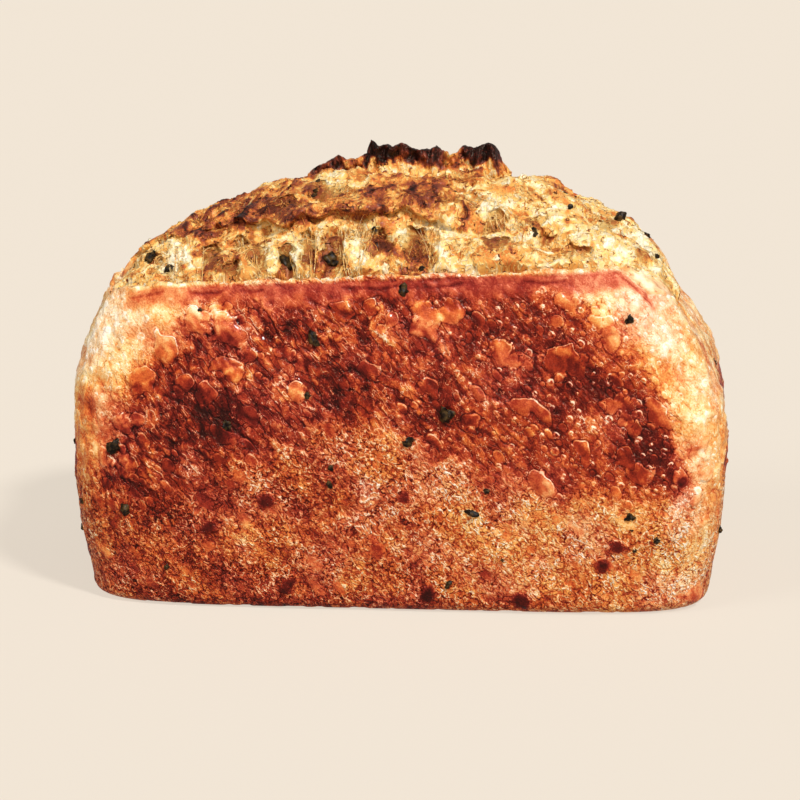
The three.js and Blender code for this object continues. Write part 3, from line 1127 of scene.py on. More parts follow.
    def seed_blisters(self, wall: Wall, draw: np.random.Generator) -> None:
        """Adds seeded blisters: ones in the glossy band, flat ones below it, tiny ones.

        Args:
            wall: stretch of wall that they sit on.
            draw: seeded random numbers.
        """
        kinds = enumerate(zip(self.blister_counts, self.blister_kinds))
        for kind, (count, (least, most, rise, tones, rim)) in kinds:
            share, q = draw.random(count), draw.uniform(-0.9, 0.97, count)
            s, t = wall.plan(share)
            seats = self.form.wall(s, t, q)
            beside = self.form.wall(*wall.plan(np.clip(share + 0.002, 0, 1)), q) - seats
            flow = self.flow(unit(np.stack([beside[:, 1], -beside[:, 0], 0 * q], -1)))
            zones = self.zones(seats, np.stack([s, t, q], -1))
            radius = least * (most / least) ** (draw.random(count) ** 1.8)
            stretch, tone = draw.uniform(1.0, 2.3, count), draw.uniform(*tones, count)
            # Brightness of each rim's painted highlight, less on the pale corners.
            shine = rim * draw.uniform(0.2, 1.0, count) * (1.0 - 0.7 * zones["pale"])
            cluster = Pattern(14.0, 2, 40 + kind).at(seats)
            wanted = (zones["band"], 1.0 - zones["band"], zones["band"] + 0.8 * zones["pale"])[kind]
            for n in np.flatnonzero(wanted + 0.7 * cluster > 0.5):
                dome = Dome(seats[n], flow[n], radius[n], stretch[n], rise * radius[n], tone[n], shine[n])
                self.domes.append(dome)

    def dress(self, points: Array, normals: Array, cube: Array) -> tuple[Array, dict[str, Array]]:
        """Relief and tone of the skin.

        Args:
            points: smooth form, one row for each point.
            normals: its outward normals.
            cube: the same points on the form's cube.

        Returns:
            How far each point is lifted, and the numbers that the mesh carries.
        """
        s, t, q = cube.T
        z = points[:, 2]
        zones = self.zones(points, cube)
        toast, band, pale = zones["toast"], zones["band"], zones["pale"]
        pixels = self.view.pixels(points)
        seen = ease(0.1, 0.5, -normals[:, 1]) * (zones["crown"] < 0.01)
        toast += (all_shares(self.dark_spots, pixels) - all_shares(self.pale_spots, pixels)) * seen
        blush = 0.45 * ease(-0.2, 0.5, Pattern(17.0, 2, 9).at(points)) * (1.0 - zones["crown"])
        blush += all_shares(self.rosy_spots, pixels) * seen
        warped = points + 1.6 * Pattern(6.0, 1, 20).drift(points)
        flow = self.flow(normals)
        drawn = warped - self.flow_draw * np.einsum("ij,ij->i", warped, flow)[:, None] * flow
        mask = Pattern(11.0, 2, 6).at(points)
        lumps = Pattern(2.6, 2, 7).at(drawn)
        drag = blend(1.0, 0.3, ease(-0.2, 0.4, s)) * (1.0 - 0.9 * pale)
        ridge = line(Pattern(3.4, 2, 3).at(drawn), 0.17) * ease(-0.15, 0.3, mask) * drag
        crease = line(Pattern(4.8, 2, 5).at(drawn), 0.13) * ease(0.2, -0.2, mask) * drag
        streak = Pattern(8.0, 2, 8).at(drawn)
        grain = (1.0 - band) * (1.0 - 0.85 * pale) * (1.0 - zones["crown"])
        lift = 0.5 * Pattern(15.0, 2, 4).at(points) + (0.3 + 0.25 * band - 0.2 * pale) * lumps
        lift += 0.9 * pale * Pattern(6.0, 3, 29).at(points)
        lift += (0.3 * ridge - 0.4 * crease) * (0.25 + 0.75 * band)
        # Painted shade in the creases and painted light on the ridges; on the next line the raised lumps
        # are painted paler.
        toast += (0.12 * crease - 0.13 * ridge) * (0.3 + 0.7 * band)
        toast -= 0.12 * lumps * band * (0.4 + 0.6 * drag)
        toast -= 0.13 * streak * (1.0 - pale)
        bulge, smooth, lit = (np.zeros(len(points)) for _ in range(3))
        marks = {"bent": Pattern(4.5, 2, 27).at(points), "edge": np.full(len(points), FAR), "lit": lit}
        for dome in self.blisters():
            self.raise_dome(dome, points, toast, bulge, smooth, marks)
        lift += bulge
        strip = self.edge_of_tear(points, cube, toast, lift, blush)
        smooth = np.maximum(smooth, 0.85 * strip)
        marks["edge"] += FAR * strip
        nub = all_shares(self.nubs, pixels) * seen
        lift += nub
        toast += 0.16 * nub
        lift *= ease(0.0, 4.0, z)
        values = {"toast": np.clip(toast, LEAST_TOAST, 1.0), "grain": grain * (1.0 - 0.8 * smooth)}
        values["film"] = np.maximum(np.maximum(band, 0.4 * pale), 0.8 * smooth)
        values["calm"], values["edge"], values["lit"] = smooth, marks["edge"], marks["lit"]
        values["blush"], values["drag"] = np.clip(blush, 0.0, 1.0), drag
        return lift, values

    def raise_dome(self, dome: Dome, points: Array, toast: Array, bulge: Array, smooth: Array,
                   marks: dict[str, Array]) -> None:
        """Adds a blister's height, tone, smoothness and outline to the points around it, with painted light
        on its lit side and painted shade on its far side.

        Args:
            dome: the blister.
            points: points of the skin.
            toast: tone of the points, changed in place.
            bulge: height over the skin, changed in place.
            smooth: 1 on blisters, changed in place.
            marks: unevenness that bends outlines, and in place the distance to the nearest outline
            (below 0 inside) and how bright the painted rim highlight there is.
        """
        offset = points - dome.middle
        near = np.flatnonzero(np.linalg.norm(offset, axis=1) < 1.5 * dome.radius * dome.stretch)
        offset = offset[near]
        down = offset @ dome.flow
        aside = np.maximum(np.einsum("ij,ij->i", offset, offset) - down**2, 0.0)
        rho = np.sqrt((down / dome.stretch) ** 2 + aside) / dome.radius * (1.0 + 0.6 * marks["bent"][near])
        toward = (offset @ np.array(self.light)) / dome.radius
        inside = ease(1.0, 0.82, rho) if dome.tone < 0.25 else ease(1.25, 0.45, rho)
        beyond = (rho - 1.0) * dome.radius
        # Painted light and shade: the side towards the light is paler and the far side darker.
        toast[near] += (dome.tone - 0.06 * dome.rim * np.clip(toward, -1.0, 1.0)) * inside
        bulge[near] = np.maximum(bulge[near], dome.height * np.sqrt(np.clip(1.0 - rho**4, 0.0, 1.0)))
        smooth[near] = np.maximum(smooth[near], inside)
        nearer = (beyond < marks["edge"][near]) | (beyond < 0.3)
        marks["edge"][near[nearer]] = beyond[nearer]
        # Painted highlight along the rim's lit side.
        marks["lit"][near[nearer]] = dome.rim * np.clip(0.15 + 0.85 * toward[nearer], 0.0, 1.0)

    def edge_of_tear(self, points: Array, cube: Array, toast: Array, lift: Array, blush: Array) -> Array:
        """Dresses the skin's edge at the tear: a thin pale lip, a smooth strip and a crease with painted
        shade in it.

        Args:
            points: points of the skin.
            cube: the same points on the form's cube.
            toast: their tone, changed in place.
            lift: their relief, changed in place.
            blush: their rosy share, changed in place.

        Returns:
            1 on the smooth strip and 0 elsewhere.
        """
        s, t, q = cube.T
        rim = np.maximum(np.abs(s), np.abs(t))
        under = self.form.shoulder_height + self.form.edge_lift(s, t) - points[:, 2]
        away = np.where(q > 1.0 - SNAP, (1.0 - rim) * PLAN_HALF[1], under)
        at_tear = ease(self.tear_back + 0.05, self.tear_back - 0.05, t)
        at_front = at_tear * ease(1.0, 0.9, np.abs(s)) * (t < -0.9)
        waver = Pattern(13.0, 3, 24).at(points * np.array([1.0, 1.0, 0.2]))
        strip = at_front * ease(9.0, 5.0, away + 3.0 * waver) * ease(0.6, 1.6, away)
        toast += strip * (0.54 + 0.03 * ease(-0.1, 0.4, s) - toast) * 0.6
        lift *= 1.0 - 0.5 * strip
        blush += 0.4 * strip
        fold = line(away - 2.6 - 1.6 * waver, 0.4) * ease(-0.1, 0.2, waver)
        ledge = line(away - 1.7 - 1.6 * waver, 0.6) * ease(-0.1, 0.2, waver)
        # The crease is sunk here and gets painted shade on the next line.
        lift += at_front * 0.3 * (ledge - fold)
        toast += at_front * 0.12 * fold
        edge = at_tear * line(away, 0.9) * ease(0.86, 0.76, s)
        toast += edge * (0.24 + 0.2 * waver - toast) * 0.85
        lift += edge * (0.4 + 0.8 * waver)
        return strip


@dataclass
class CrustWall:
    """A stretch of baked wall as a shell: up its outside, over its edge and down its inside."""

    skin: CrustSkin
    wall: Wall
    name: str
    columns: int
    rows: int
    edge_rows: int = 10
    edge_reach: float = 0.06  # share of the plan that it bends in over the top
    lip_stand: float = 0.9
    tear_sink: float = 9.0  # how far its edge is tucked under the torn crumb
    tear_span: Span = (0.18, 0.08)
    sink_span: Span = (1.0, 0.965)
    thickness: float = 3.0
    relief_light_and_shade: float = 0.13  # painted light and shade: how much paler a millimetre over the blurred height makes the skin, and how much darker a millimetre under it
    crest_cells: int = 4
    dive: float = 1.4  # depth to which its ends and its edge slip under the next piece
    dive_cells: int = 7
    edge_dive_cells: int = 4
    end_edge: Span = (2.8, 1.4)  # how far the torn edge stands up at the left and right end
    end_span: Span = (-0.99, -0.9)
    end_ragged: Pattern = Pattern(8.0, 3, 35)
    ragged_middle: float = 0.4
    stand_spans: tuple[Span, Span] = ((0.92, 1.0), (0.985, 1.0))  # up the wall and in over its top
    foot_lift: float = 0.9  # how far the foot stands off the floor in places
    foot_worn: Pattern = Pattern(9.0, 3, 28)
    foot_shares: Span = (0.3, 1.6)

    def outside(self) -> tuple[Array, Array]:
        """Smooth outside of the stretch.

        Returns:
            A grid of points, row by row upwards, and the same points on the form's cube.
        """
        row = np.arange(self.rows + self.edge_rows + 1)[:, None]
        s, t = self.wall.plan(np.linspace(0.0, 1.0, self.columns + 1))
        inward = np.maximum(row - self.rows, 0) / self.edge_rows * self.edge_reach
        q = np.minimum(2.0 * row / self.rows - 1.0, 1.0) + 0.0 * s
        s, t = s * (1.0 - inward), t * (1.0 - inward)
        form = self.skin.form
        points = form.wall(s, t, q)
        over = form.crown(s, t, self.lip_stand)
        rim = np.maximum(np.abs(s), np.abs(t))
        torn = ease(*self.tear_span, t - self.skin.tear_back + form.frayed(s))
        over[..., 2] -= self.tear_sink * ease(*self.sink_span, rim) * torn
        at_end = torn * ease(*self.end_span, t) * (np.abs(s) > np.abs(t))
        ragged = np.clip(self.ragged_middle + self.end_ragged.at(points * FLAT), 0.0, 1.0)
        stand = np.where(s < 0, *self.end_edge) * ragged * at_end
        up, inwards = self.stand_spans
        points[..., 2] += stand * ease(*up, q)
        over[..., 2] += stand * ease(*inwards, rim)
        return np.where((row > self.rows)[..., None], over, points), np.stack([s, t, q], -1)

    def build(self, material: Material) -> Object:
        """Makes the piece.

        Args:
            material: its finish.

        Returns:
            The shell, closed at its ends.
        """
        smooth, self.cube = self.outside()
        self.normals = grid_normals(smooth)
        rows = (grid.reshape(-1, 3) for grid in (smooth, self.normals, self.cube))
        lift, values = self.skin.dress(*rows)
        column = np.arange(self.columns + 1)
        to_end = np.minimum(column, self.columns - column)
        to_edge = self.rows + self.edge_rows - np.arange(len(smooth))[:, None]
        slip = np.maximum(ease(self.dive_cells, 0, to_end), ease(self.edge_dive_cells, 0, to_edge))
        height = lift.reshape(slip.shape)
        grid = smooth + self.normals * (height - self.dive * slip)[..., None]
        # Painted light on the relief's crests and painted shade in its pits.
        values["toast"] -= self.relief_light_and_shade * (height - blurred(height, self.crest_cells)).ravel()
        middle, uneven = self.foot_shares
        worn = np.clip(middle + uneven * self.foot_worn.at(grid[0] * FLAT), 0.0, 1.0)
        grid[..., 2] = np.maximum(grid[..., 2], self.foot_lift * worn)
        self.points, self.pixels = grid, self.skin.view.pixels(grid)
        bm = bmesh.new()
        bmesh.ops.create_grid(bm, x_segments=self.columns, y_segments=len(grid) + 2, size=1.0)
        move_to(bm, np.concatenate([grid, self.inside(grid), grid[:1]]))
        bm.verts.ensure_lookup_table()
        last = len(bm.verts) - self.columns - 1
        weld = {bm.verts[last + n]: bm.verts[n] for n in range(self.columns + 1)}
        bmesh.ops.weld_verts(bm, targetmap=weld)
        bmesh.ops.edgeloop_fill(bm, edges=[e for e in bm.edges if e.is_boundary])
        return show_piece(self.name, mesh_of(self.name, bm), material, values)

    def inside(self, grid: Array) -> Array:
        """Plain inside of the shell.

        Args:
            grid: its outside.

        Returns:
            The inside's upper and lower row.
        """
        drawn_in = 1.0 - self.thickness / np.array([*PLAN_HALF, math.inf])
        rows = grid[[-1, 0]] * drawn_in
        rows[0, :, 2] -= self.thickness
        return rows


@dataclass
class CrustTop:
    """The loaf's body under its walls, whose skin shows on the back of the crown and as the base."""

    skin: CrustSkin
    cells: tuple[int, int, int] = (220, 100, 12)
    crowding: float = 0.15
    lip_stand: float = 0.9
    inset: float = 2.0  # how far it lies inside the walls
    inset_spans: tuple[Span, Span] = ((0.955, 0.985), (0.95, 1.0))  # downwards and sideways
    tear_sink: float = 9.0
    tear_span: Span = (0.1, 0.0)
    shown_from: float = 0.2  # how far behind the tear bits may sit
    shown_rim: float = 0.93

    def build(self, material: Material) -> Object:
        """Makes the piece.

        Args:
            material: its finish.

        Returns:
            The body.
        """
        form, back = self.skin.form, self.skin.tear_back
        bm = grid_box(self.cells)
        s, t, q = places(bm).T
        t = t + self.crowding * (1.0 - t**2)
        on_top = q > 1.0 - SNAP
        rim = np.maximum(np.abs(s), np.abs(t))
        points = np.where(on_top[:, None], form.crown(s, t, self.lip_stand), form.wall(s, t, q))
        torn = ease(*self.tear_span, t - (back - form.frayed(s)))
        down, aside = self.inset_spans
        points[:, 2] -= on_top * (self.tear_sink * torn + self.inset * ease(*down, rim))
        drawn_in = self.inset * ease(*aside, np.where(on_top, rim, 1.0))
        points[:, :2] *= 1.0 - drawn_in[:, None] / PLAN_HALF
        move_to(bm, points)
        normals = np.array([v.normal for v in bm.verts])
        lift, values = self.skin.dress(points, normals, np.stack([s, t, q], -1))
        moved = points + normals * (lift * on_top)[:, None]
        move_to(bm, moved)
        shown = on_top & (t > back + self.shown_from) & (rim < self.shown_rim)
        self.points, self.normals = moved[shown], normals[shown]
        return show_piece("crust_top", mesh_of("crust_top", bm), material, values)


@dataclass
class Crumb:
    """The torn crown between the lip and the ear: steps, alcoves, open cells and toasted edges."""

    form: LoafForm
    view: View
    columns: int = 470
    rows: int = 196
    front_share: float = -0.985
    behind_ridge: float = 0.22
    lip_stand: float = 0.7
    borders: tuple[Span, Span, Span] = ((0.0, 0.035), (1.0, 0.95), (0.0, 0.02))  # front, back and sides
    end_span: Span = (0.04, 0.0)
    facing: float = 0.1  # how far a normal may turn to the back where a strand of the picture sits
    skirt: Span = (18.0, 0.97)  # how deep it hangs under the shoulder and how far it is drawn in
    end_skin: Span = (2.5, 8.0)  # reach of the crust over the ends and how far it varies
    end_skin_soft: Span = (2.5, -2.5)
    end_skin_share: float = 0.55
    cell_count: int = 760
    cell_radii: Span = (0.8, 5.6)
    small_share: float = 1.5  # the higher, the more small cells
    cell_stretch: Span = (1.0, 2.0)
    cell_turn: float = 0.7
    cell_depth: Span = (0.3, 0.7)
    cell_tones: Span = (-0.08, 0.1)
    # Share of painted shade that each cell's hollow gets, from least to most.
    cell_hollow_shade: Span = (0.0, 0.9)
    cell_nesting: float = 0.35
    cell_overlap: float = 0.2
    grid_step: float = 0.4  # least distance of the grid's points
    grid_margin: int = 6
    drift: Pattern = Pattern(4.0, 2, 30)
    drift_reach: Triple = (1.8, 0.8, 5.0)  # of cells, of fibres and in pixels
    wander: Pattern = Pattern(16.0, 3, 6)
    small: Pattern = Pattern(5.0, 3, 7)
    fibres: Pattern = Pattern(2.0, 2, 8)
    fibre_draw: Triple = (1.0, 0.22, 0.22)
    fibre_width: float = 0.3
    laces: Pattern = Pattern(3.2, 2, 16)
    lace_width: float = 0.24
    browning: Pattern = Pattern(9.0, 3, 18)
    browning_span: Span = (-0.05, 0.35)
    ends: Pattern = Pattern(11.0, 3, 33)
    ledge: Pattern = Pattern(7.0, 3, 9)
    ledge_wander: float = 5.0
    shelf_line: tuple[Span, ...] = (
        (120, 262), (180, 238), (230, 222), (290, 226), (330, 213), (370, 216), (400, 212), (440, 224),
        (480, 232),
    )
    shelf_spans: tuple[Span, Span, Span] = ((0.0, 2.5), (34.0, 8.0), (470.0, 430.0))  # foot, top, right end
    shelf_push: Span = (4.0, 0.8)  # to the front and up
    skin_line: Triple = (618.0, 267.0, 0.38)  # pixel and slope where crust begins again
    skin_spans: tuple[Span, Span, Span] = ((-20.0, 5.0), (-18.0, -34.0), (-2.0, 3.0))  # right, front, below
    skin_calm: float = 0.6
    skin_tone: Triple = (0.2, 0.12, 0.24)  # in the middle, by wide and by small unevenness
    right_span: Span = (370.0, 480.0)
    alcove_span: Span = (0.5, 2.5)
    alcove_power: float = 0.4
    alcove_edge: Span = (0.3, -1.0)
    raised: Weights = (
        ("wander", 1.2), ("small", 0.7), ("cells", -1.0), ("lace", 0.2), ("strands", 1.0),
    )
    strand_rise: Triple = (0.2, 0.9, 0.5)  # of fibres, of fibres in a web, and how far a web lies back
    stand: Span = (1.2, 3.5)  # how far the crumb stands out inside and is tucked in at its border
    blur_cells: int = 5
    # Painted shade in pits: how far under the blurred relief it sets in and where it is full.
    pit_span: Span = (0.1, 1.2)
    crest_span: Span = (0.1, 0.8)
    left_tone: float = 0.37
    right_tone: float = 0.265
    # Weights of the tone: alcove and deep are painted shade in the alcoves and the deep cells, and the
    # crests that are not browned get a painted highlight.
    toasted: Weights = (
        ("middle", 0.04), ("wander", 0.10), ("small", 0.04), ("tone", 1.0), ("alcove", 0.05),
        ("deep", 0.03), ("browned", 0.12), ("left_crest", 0.24), ("right_crest", 0.2),
        ("bare_crest", -0.08), ("shelf", 0.108), ("shelf_crest", 0.072), ("web", -0.10),
        ("web_fibre", -0.12),
    )
    middle_line: Span = (400.0, 90.0)  # pixel and half width
    straw_spans: tuple[Span, Span] = ((200.0, 250.0), (500.0, 440.0))
    straw_least: float = 0.15
    alcoves: Spots = spots(
        (287, 264, 10, 18, 5.0), (333, 260, 13, 22, 5.0), (308, 254, 8, 22, 4.0), (351, 238, 6, 8, 3.5),
        (380, 244, 11, 16, 3.5), (414, 247, 16, 18, 5.0), (212, 258, 11, 15, 4.5),
        (230, 272, 9, 10, 4.0), (154, 262, 8, 9, 3.5), (258, 258, 11, 16, 4.0), (240, 245, 10, 9, 3.0),
        (280, 208, 22, 9, 3.0), (330, 193, 24, 8, 2.5), (495, 226, 12, 15, 3.5), (495, 247, 17, 8, 3.0),
        (535, 222, 12, 7, 2.5), (460, 199, 8, 7, 2.5), (547, 240, 9, 6, 2.5), (606, 229, 12, 8, 2.5),
        (580, 252, 14, 7, 2.5), (640, 256, 9, 7, 2.0),
    )
    brown_spots: Spots = spots(
        (205, 232, 32, 8, 0.22, -14), (245, 219, 28, 9, 0.24, -14), (250, 203, 34, 15, 0.24),
        (305, 220, 22, 6, 0.26), (345, 214, 26, 6, 0.28), (380, 214, 14, 6, 0.24),
        (300, 175, 26, 7, 0.26), (380, 196, 18, 8, 0.16), (415, 190, 8, 9, 0.32),
        (432, 188, 28, 18, 0.24), (472, 177, 20, 9, 0.34), (466, 213, 5, 8, 0.46),
        (500, 200, 6, 5, 0.24), (520, 212, 6, 5, 0.24), (535, 195, 7, 5, 0.22), (590, 222, 6, 5, 0.26),
        (514, 254, 5, 4, 0.28), (560, 190, 10, 5, 0.2), (618, 215, 9, 5, 0.3), (380, 246, 10, 12, 0.18),
        (332, 254, 10, 16, 0.14), (215, 245, 16, 10, 0.10), (255, 262, 12, 10, 0.08),
        (490, 258, 80, 12, 0.12),
    )
    pale_spots: Spots = spots(
        (175, 260, 10, 22, 0.26), (191, 258, 6, 18, 0.20), (150, 240, 16, 12, 0.16),
        (297, 258, 5, 22, 0.18), (355, 252, 10, 28, 0.16), (442, 255, 9, 15, 0.14),
        (335, 190, 36, 12, 0.14), (420, 162, 52, 7, 0.24), (400, 236, 14, 14, 0.12),
        (495, 215, 22, 20, 0.10), (640, 240, 36, 24, 0.06),
    )
    webs: Spots = spots(
        (175, 260, 9, 22, 1), (190, 258, 6, 18, 1), (297, 258, 6, 24, 1), (346, 245, 5, 22, 1, 8),
        (360, 250, 6, 26, 1, -6), (320, 240, 6, 14, 1), (442, 254, 9, 15, 1), (404, 246, 8, 16, 1),
        (270, 255, 7, 20, 1), (490, 210, 10, 14, 1), (340, 184, 14, 14, 1), (640, 240, 8, 10, 1),
    )

    def build(self, material: Material) -> Object:
        """Makes the piece.

        Args:
            material: its finish.

        Returns:
            The crumb, closed under the crust.
        """
        bm = bmesh.new()
        bmesh.ops.create_grid(bm, x_segments=self.columns, y_segments=self.rows, size=1.0)
        flat = places(bm).reshape(self.rows + 1, self.columns + 1, 3)
        s, up = flat[..., 0], (flat[..., 1] + 1.0) / 2.0
        t = blend(self.front_share, self.form.ridge + self.behind_ridge, up)
        self.base = self.form.crown(s, t, self.lip_stand)
        self.base_normals = grid_normals(self.base)
        from_side = 1.0 - np.abs(s)
        inward = (up, up + self.form.frayed(s), from_side)
        inner = math.prod(ease(*border, way) for border, way in zip(self.borders, inward))
        values = self.tear(inner, ease(*self.end_span, from_side))
        self.toast = values["toast"]
        self.pixels, self.base_pixels = self.view.pixels(self.points), self.view.pixels(self.base)
        border = [e for e in bm.edges if e.is_boundary]
        move_to(bm, self.points)
        skirt = bmesh.ops.extrude_edge_only(bm, edges=border)["geom"]
        depth, share = self.skirt
        for vertex in (g for g in skirt if isinstance(g, bmesh.types.BMVert)):
            vertex.co = (vertex.co.x * share, vertex.co.y * share, self.form.shoulder_height - depth)
        bmesh.ops.edgeloop_fill(bm, edges=[e for e in bm.edges if e.is_boundary])
        return show_piece("crumb", mesh_of("crumb", bm), material, values)

    def cells(self, warped: Array) -> dict[str, Array]:
        """Open cells of the crumb, as many seeded oval hollows, small ones torn into large ones.

        Args:
            warped: grid of the crown's points, moved about a little so that outlines are uneven.

        Returns:
            Grids of the depth, of the distance to the nearest outline (below 0 inside), of the change of
            tone inside the cells and of how much painted shade their hollows get.
        """
        draw = random.Random(SEED + 1)
        run = np.linalg.norm(np.diff(self.base, axis=0), axis=-1)
        way = np.concatenate([np.zeros((1, self.columns + 1)), np.cumsum(run, axis=0)])
        way = way + (warped - self.base)[..., 1]
        grids = {name: np.zeros(way.shape) for name in ("depth", "edge", "tone", "dull")}
        grids["edge"] += FAR
        least, most = self.cell_radii
        sizes = [(most / least) ** (draw.random() ** self.small_share) for _ in range(self.cell_count)]
        for radius in (least * size for size in sorted(sizes, reverse=True)):
            row, column = draw.randrange(self.rows), draw.randrange(self.columns)
            stretch = draw.uniform(*self.cell_stretch)
            turn = draw.gauss(0.0, self.cell_turn)
            share = draw.uniform(*self.cell_depth)
            span = int(radius * stretch / self.grid_step) + self.grid_margin
            window = tuple(slice(max(place - span, 0), place + span) for place in (row, column))
            across = warped[window][..., 0] - warped[row, column, 0]
            along = way[window] - way[row, column]
            aside = across * math.cos(turn) - along * math.sin(turn)
            down = across * math.sin(turn) + along * math.cos(turn)
            rho = np.hypot(aside / radius, down / (radius * stretch))
            own = share * radius * np.sqrt(np.clip(1.0 - rho**2, 0.0, 1.0))
            beyond = (rho - 1.0) * radius
            inside = ease(1.0, 0.75, rho)
            depth, edge, tone, dull = (grid[window] for grid in grids.values())
            np.maximum(depth, own + self.cell_nesting * depth * inside, out=depth)
            edge[...] = np.where((beyond < edge) | (beyond < self.cell_overlap), beyond, edge)
            tone[...] = blend(tone, draw.uniform(*self.cell_tones), inside)
            dull[...] = blend(dull, draw.uniform(*self.cell_hollow_shade), inside)
        return grids

    def hollows(self, bent: Array, edge: Array) -> tuple[Array, Array]:
        """Alcoves that were read off the picture.

        Args:
            bent: where the grid's points show, moved about a little.
            edge: distance to the nearest cell's outline.

        Returns:
            How far each point lies back, and the distance to the nearest outline with the alcoves' own.
        """
        hollow = np.zeros(edge.shape)
        outer, inner = self.alcove_edge
        for spot in self.alcoves:
            reach = spot.reach(bent)
            own = spot.amount * np.clip(1.0 - reach**2, 0.0, 1.0) ** self.alcove_power
            hollow = np.maximum(hollow, own)
            beyond = (reach - 1.0) * spot.wide * self.view.distance / self.view.focal
            at_edge = (beyond < outer) & (beyond > inner)
            edge = np.where(at_edge, beyond, np.maximum(edge, -beyond * (beyond < 0.0)))
        return hollow, edge

    def crust_over(self, pixels: Array) -> Array:
        """Share of the crust that runs over the crown: at the lip's right end and a little at both ends.

        Args:
            pixels: where the grid's points show.

        Returns:
            Shares.
        """
        x, y, slope = self.skin_line
        px, py = pixels[..., 0] - x, pixels[..., 1] - y
        places_from = (px, self.base[..., 1], py - slope * px)
        skin = math.prod(ease(*span, place) for span, place in zip(self.skin_spans, places_from))
        from_end = self.form.of_end(self.base[..., 0], "shoulder") - np.abs(self.base[..., 0])
        reach = self.end_skin[0] + self.end_skin[1] * self.ends.at(self.base)
        return np.maximum(skin, self.end_skin_share * ease(*self.end_skin_soft, from_end - reach))

    def shelf(self, pixels: Array) -> Array:
        """Ragged shelf that overhangs the alcoves.

        Args:
            pixels: where the grid's points show.

        Returns:
            Shares.
        """
        px, py = pixels[..., 0], pixels[..., 1]
        ledge = np.interp(px, *np.array(self.shelf_line).T)
        above = ledge + self.ledge_wander * self.ledge.along(self.base[..., 0]) - py
        return math.prod(ease(*span, way) for span, way in zip(self.shelf_spans, (above, above, px)))

    def tear(self, inner: Array, at_end: Array) -> dict[str, Array]:
        """Tears the crown open, which sets its points.

        Args:
            inner: 1 inside and 0 at the border, which is tucked under the crust.
            at_end: 1 at the two ends of the crown, where it is tucked in less.

        Returns:
            The numbers that the mesh carries.
        """
        base, pixels, drift = self.base, self.view.pixels(self.base), self.drift.drift(self.base)
        cell_reach, fibre_reach, pixel_reach = self.drift_reach
        grids = self.cells(base + cell_reach * drift)
        bent = pixels + pixel_reach * drift[..., :2]
        self.depth, (hollow, edge) = grids["depth"], self.hollows(bent, grids["edge"])
        wander, small, shelf = self.wander.at(base), self.small.at(base), self.shelf(pixels)
        web = np.clip(all_shares(self.webs, bent), 0.0, 1.0)
        moved_about = base + fibre_reach * drift
        fibre = line(self.fibres.at(moved_about * np.array(self.fibre_draw)), self.fibre_width)
        alcove, skin = ease(*self.alcove_span, hollow), self.crust_over(pixels)
        plain, webbed, back = self.strand_rise
        layers = {
            "wander": wander,
            "small": small,
            "cells": self.depth * (1.0 - 0.8 * web) * (1.0 - 0.6 * alcove),
            "lace": line(self.laces.at(moved_about), self.lace_width),
            "strands": (plain + webbed * web) * fibre - back * web,
            "web": web,
            "web_fibre": web * fibre,
        }
        relief = weighed(layers, self.raised) * (1.0 - self.skin_calm * skin)
        stand, tuck = self.stand
        outward = stand * inner - blend(tuck, 0.0, at_end) * (1.0 - inner) + inner * relief
        self.points = base + self.base_normals * outward[..., None]
        push, rise = self.shelf_push
        self.points[..., 1] += inner * (hollow * (1.0 - 0.7 * web) - push * shelf)
        self.points[..., 2] += inner * rise * shelf
        sunk = blurred(relief, self.blur_cells) - relief
        pit, crest = ease(*self.pit_span, sunk), ease(*self.crest_span, -sunk)
        px, right = pixels[..., 0], ease(*self.right_span, pixels[..., 0])
        browned = ease(*self.browning_span, self.browning.at(base) + 0.3 * small) * (1.0 - web)
        middle, width = self.middle_line
        layers.update({
            "middle": line(px - middle, width),
            "tone": grids["tone"] * (1.0 - 0.7 * alcove),
            "alcove": alcove,
            "deep": np.clip(self.depth - 1.0, 0.0, 2.0),
            "browned": browned,
            "left_crest": browned * crest * (1.0 - right),
            "right_crest": browned * crest * right,
            # Painted highlight on the crests that are not browned.
            "bare_crest": crest * (1.0 - browned),
            "shelf": shelf,
            "shelf_crest": shelf * crest,
        })
        toast = blend(self.left_tone, self.right_tone, right) + weighed(layers, self.toasted)
        toast += all_shares(self.brown_spots, bent) - all_shares(self.pale_spots, bent)
        straw = math.prod(ease(*span, px) for span in self.straw_spans)
        middle, wide, fine = self.skin_tone
        baked = middle + wide * wander + fine * small
        toast = blend(np.maximum(toast, self.straw_least * straw), baked, skin)
        # Painted shade: in pits, in the cells' hollows and in the alcoves, less on crests.
        dull = np.maximum(0.5 * pit + 0.6 * grids["dull"], 0.85 * alcove) * (1.0 - 0.7 * crest)
        return {
            "toast": np.clip(toast, LEAST_TOAST, 1.0),
            "hollow": np.clip(dull, 0.0, 1.0) * inner * (1.0 - skin),
            "skin": skin,
            "edge": edge,
        }

    def near(self, pixel: Span) -> int:
        """Number of the smooth crown's point that shows nearest to a pixel, on the side of the camera."""
        away = np.hypot(*np.moveaxis(self.base_pixels - pixel, -1, 0))
        return int(np.argmin(np.where(self.base_normals[..., 1] > self.facing, math.inf, away)))


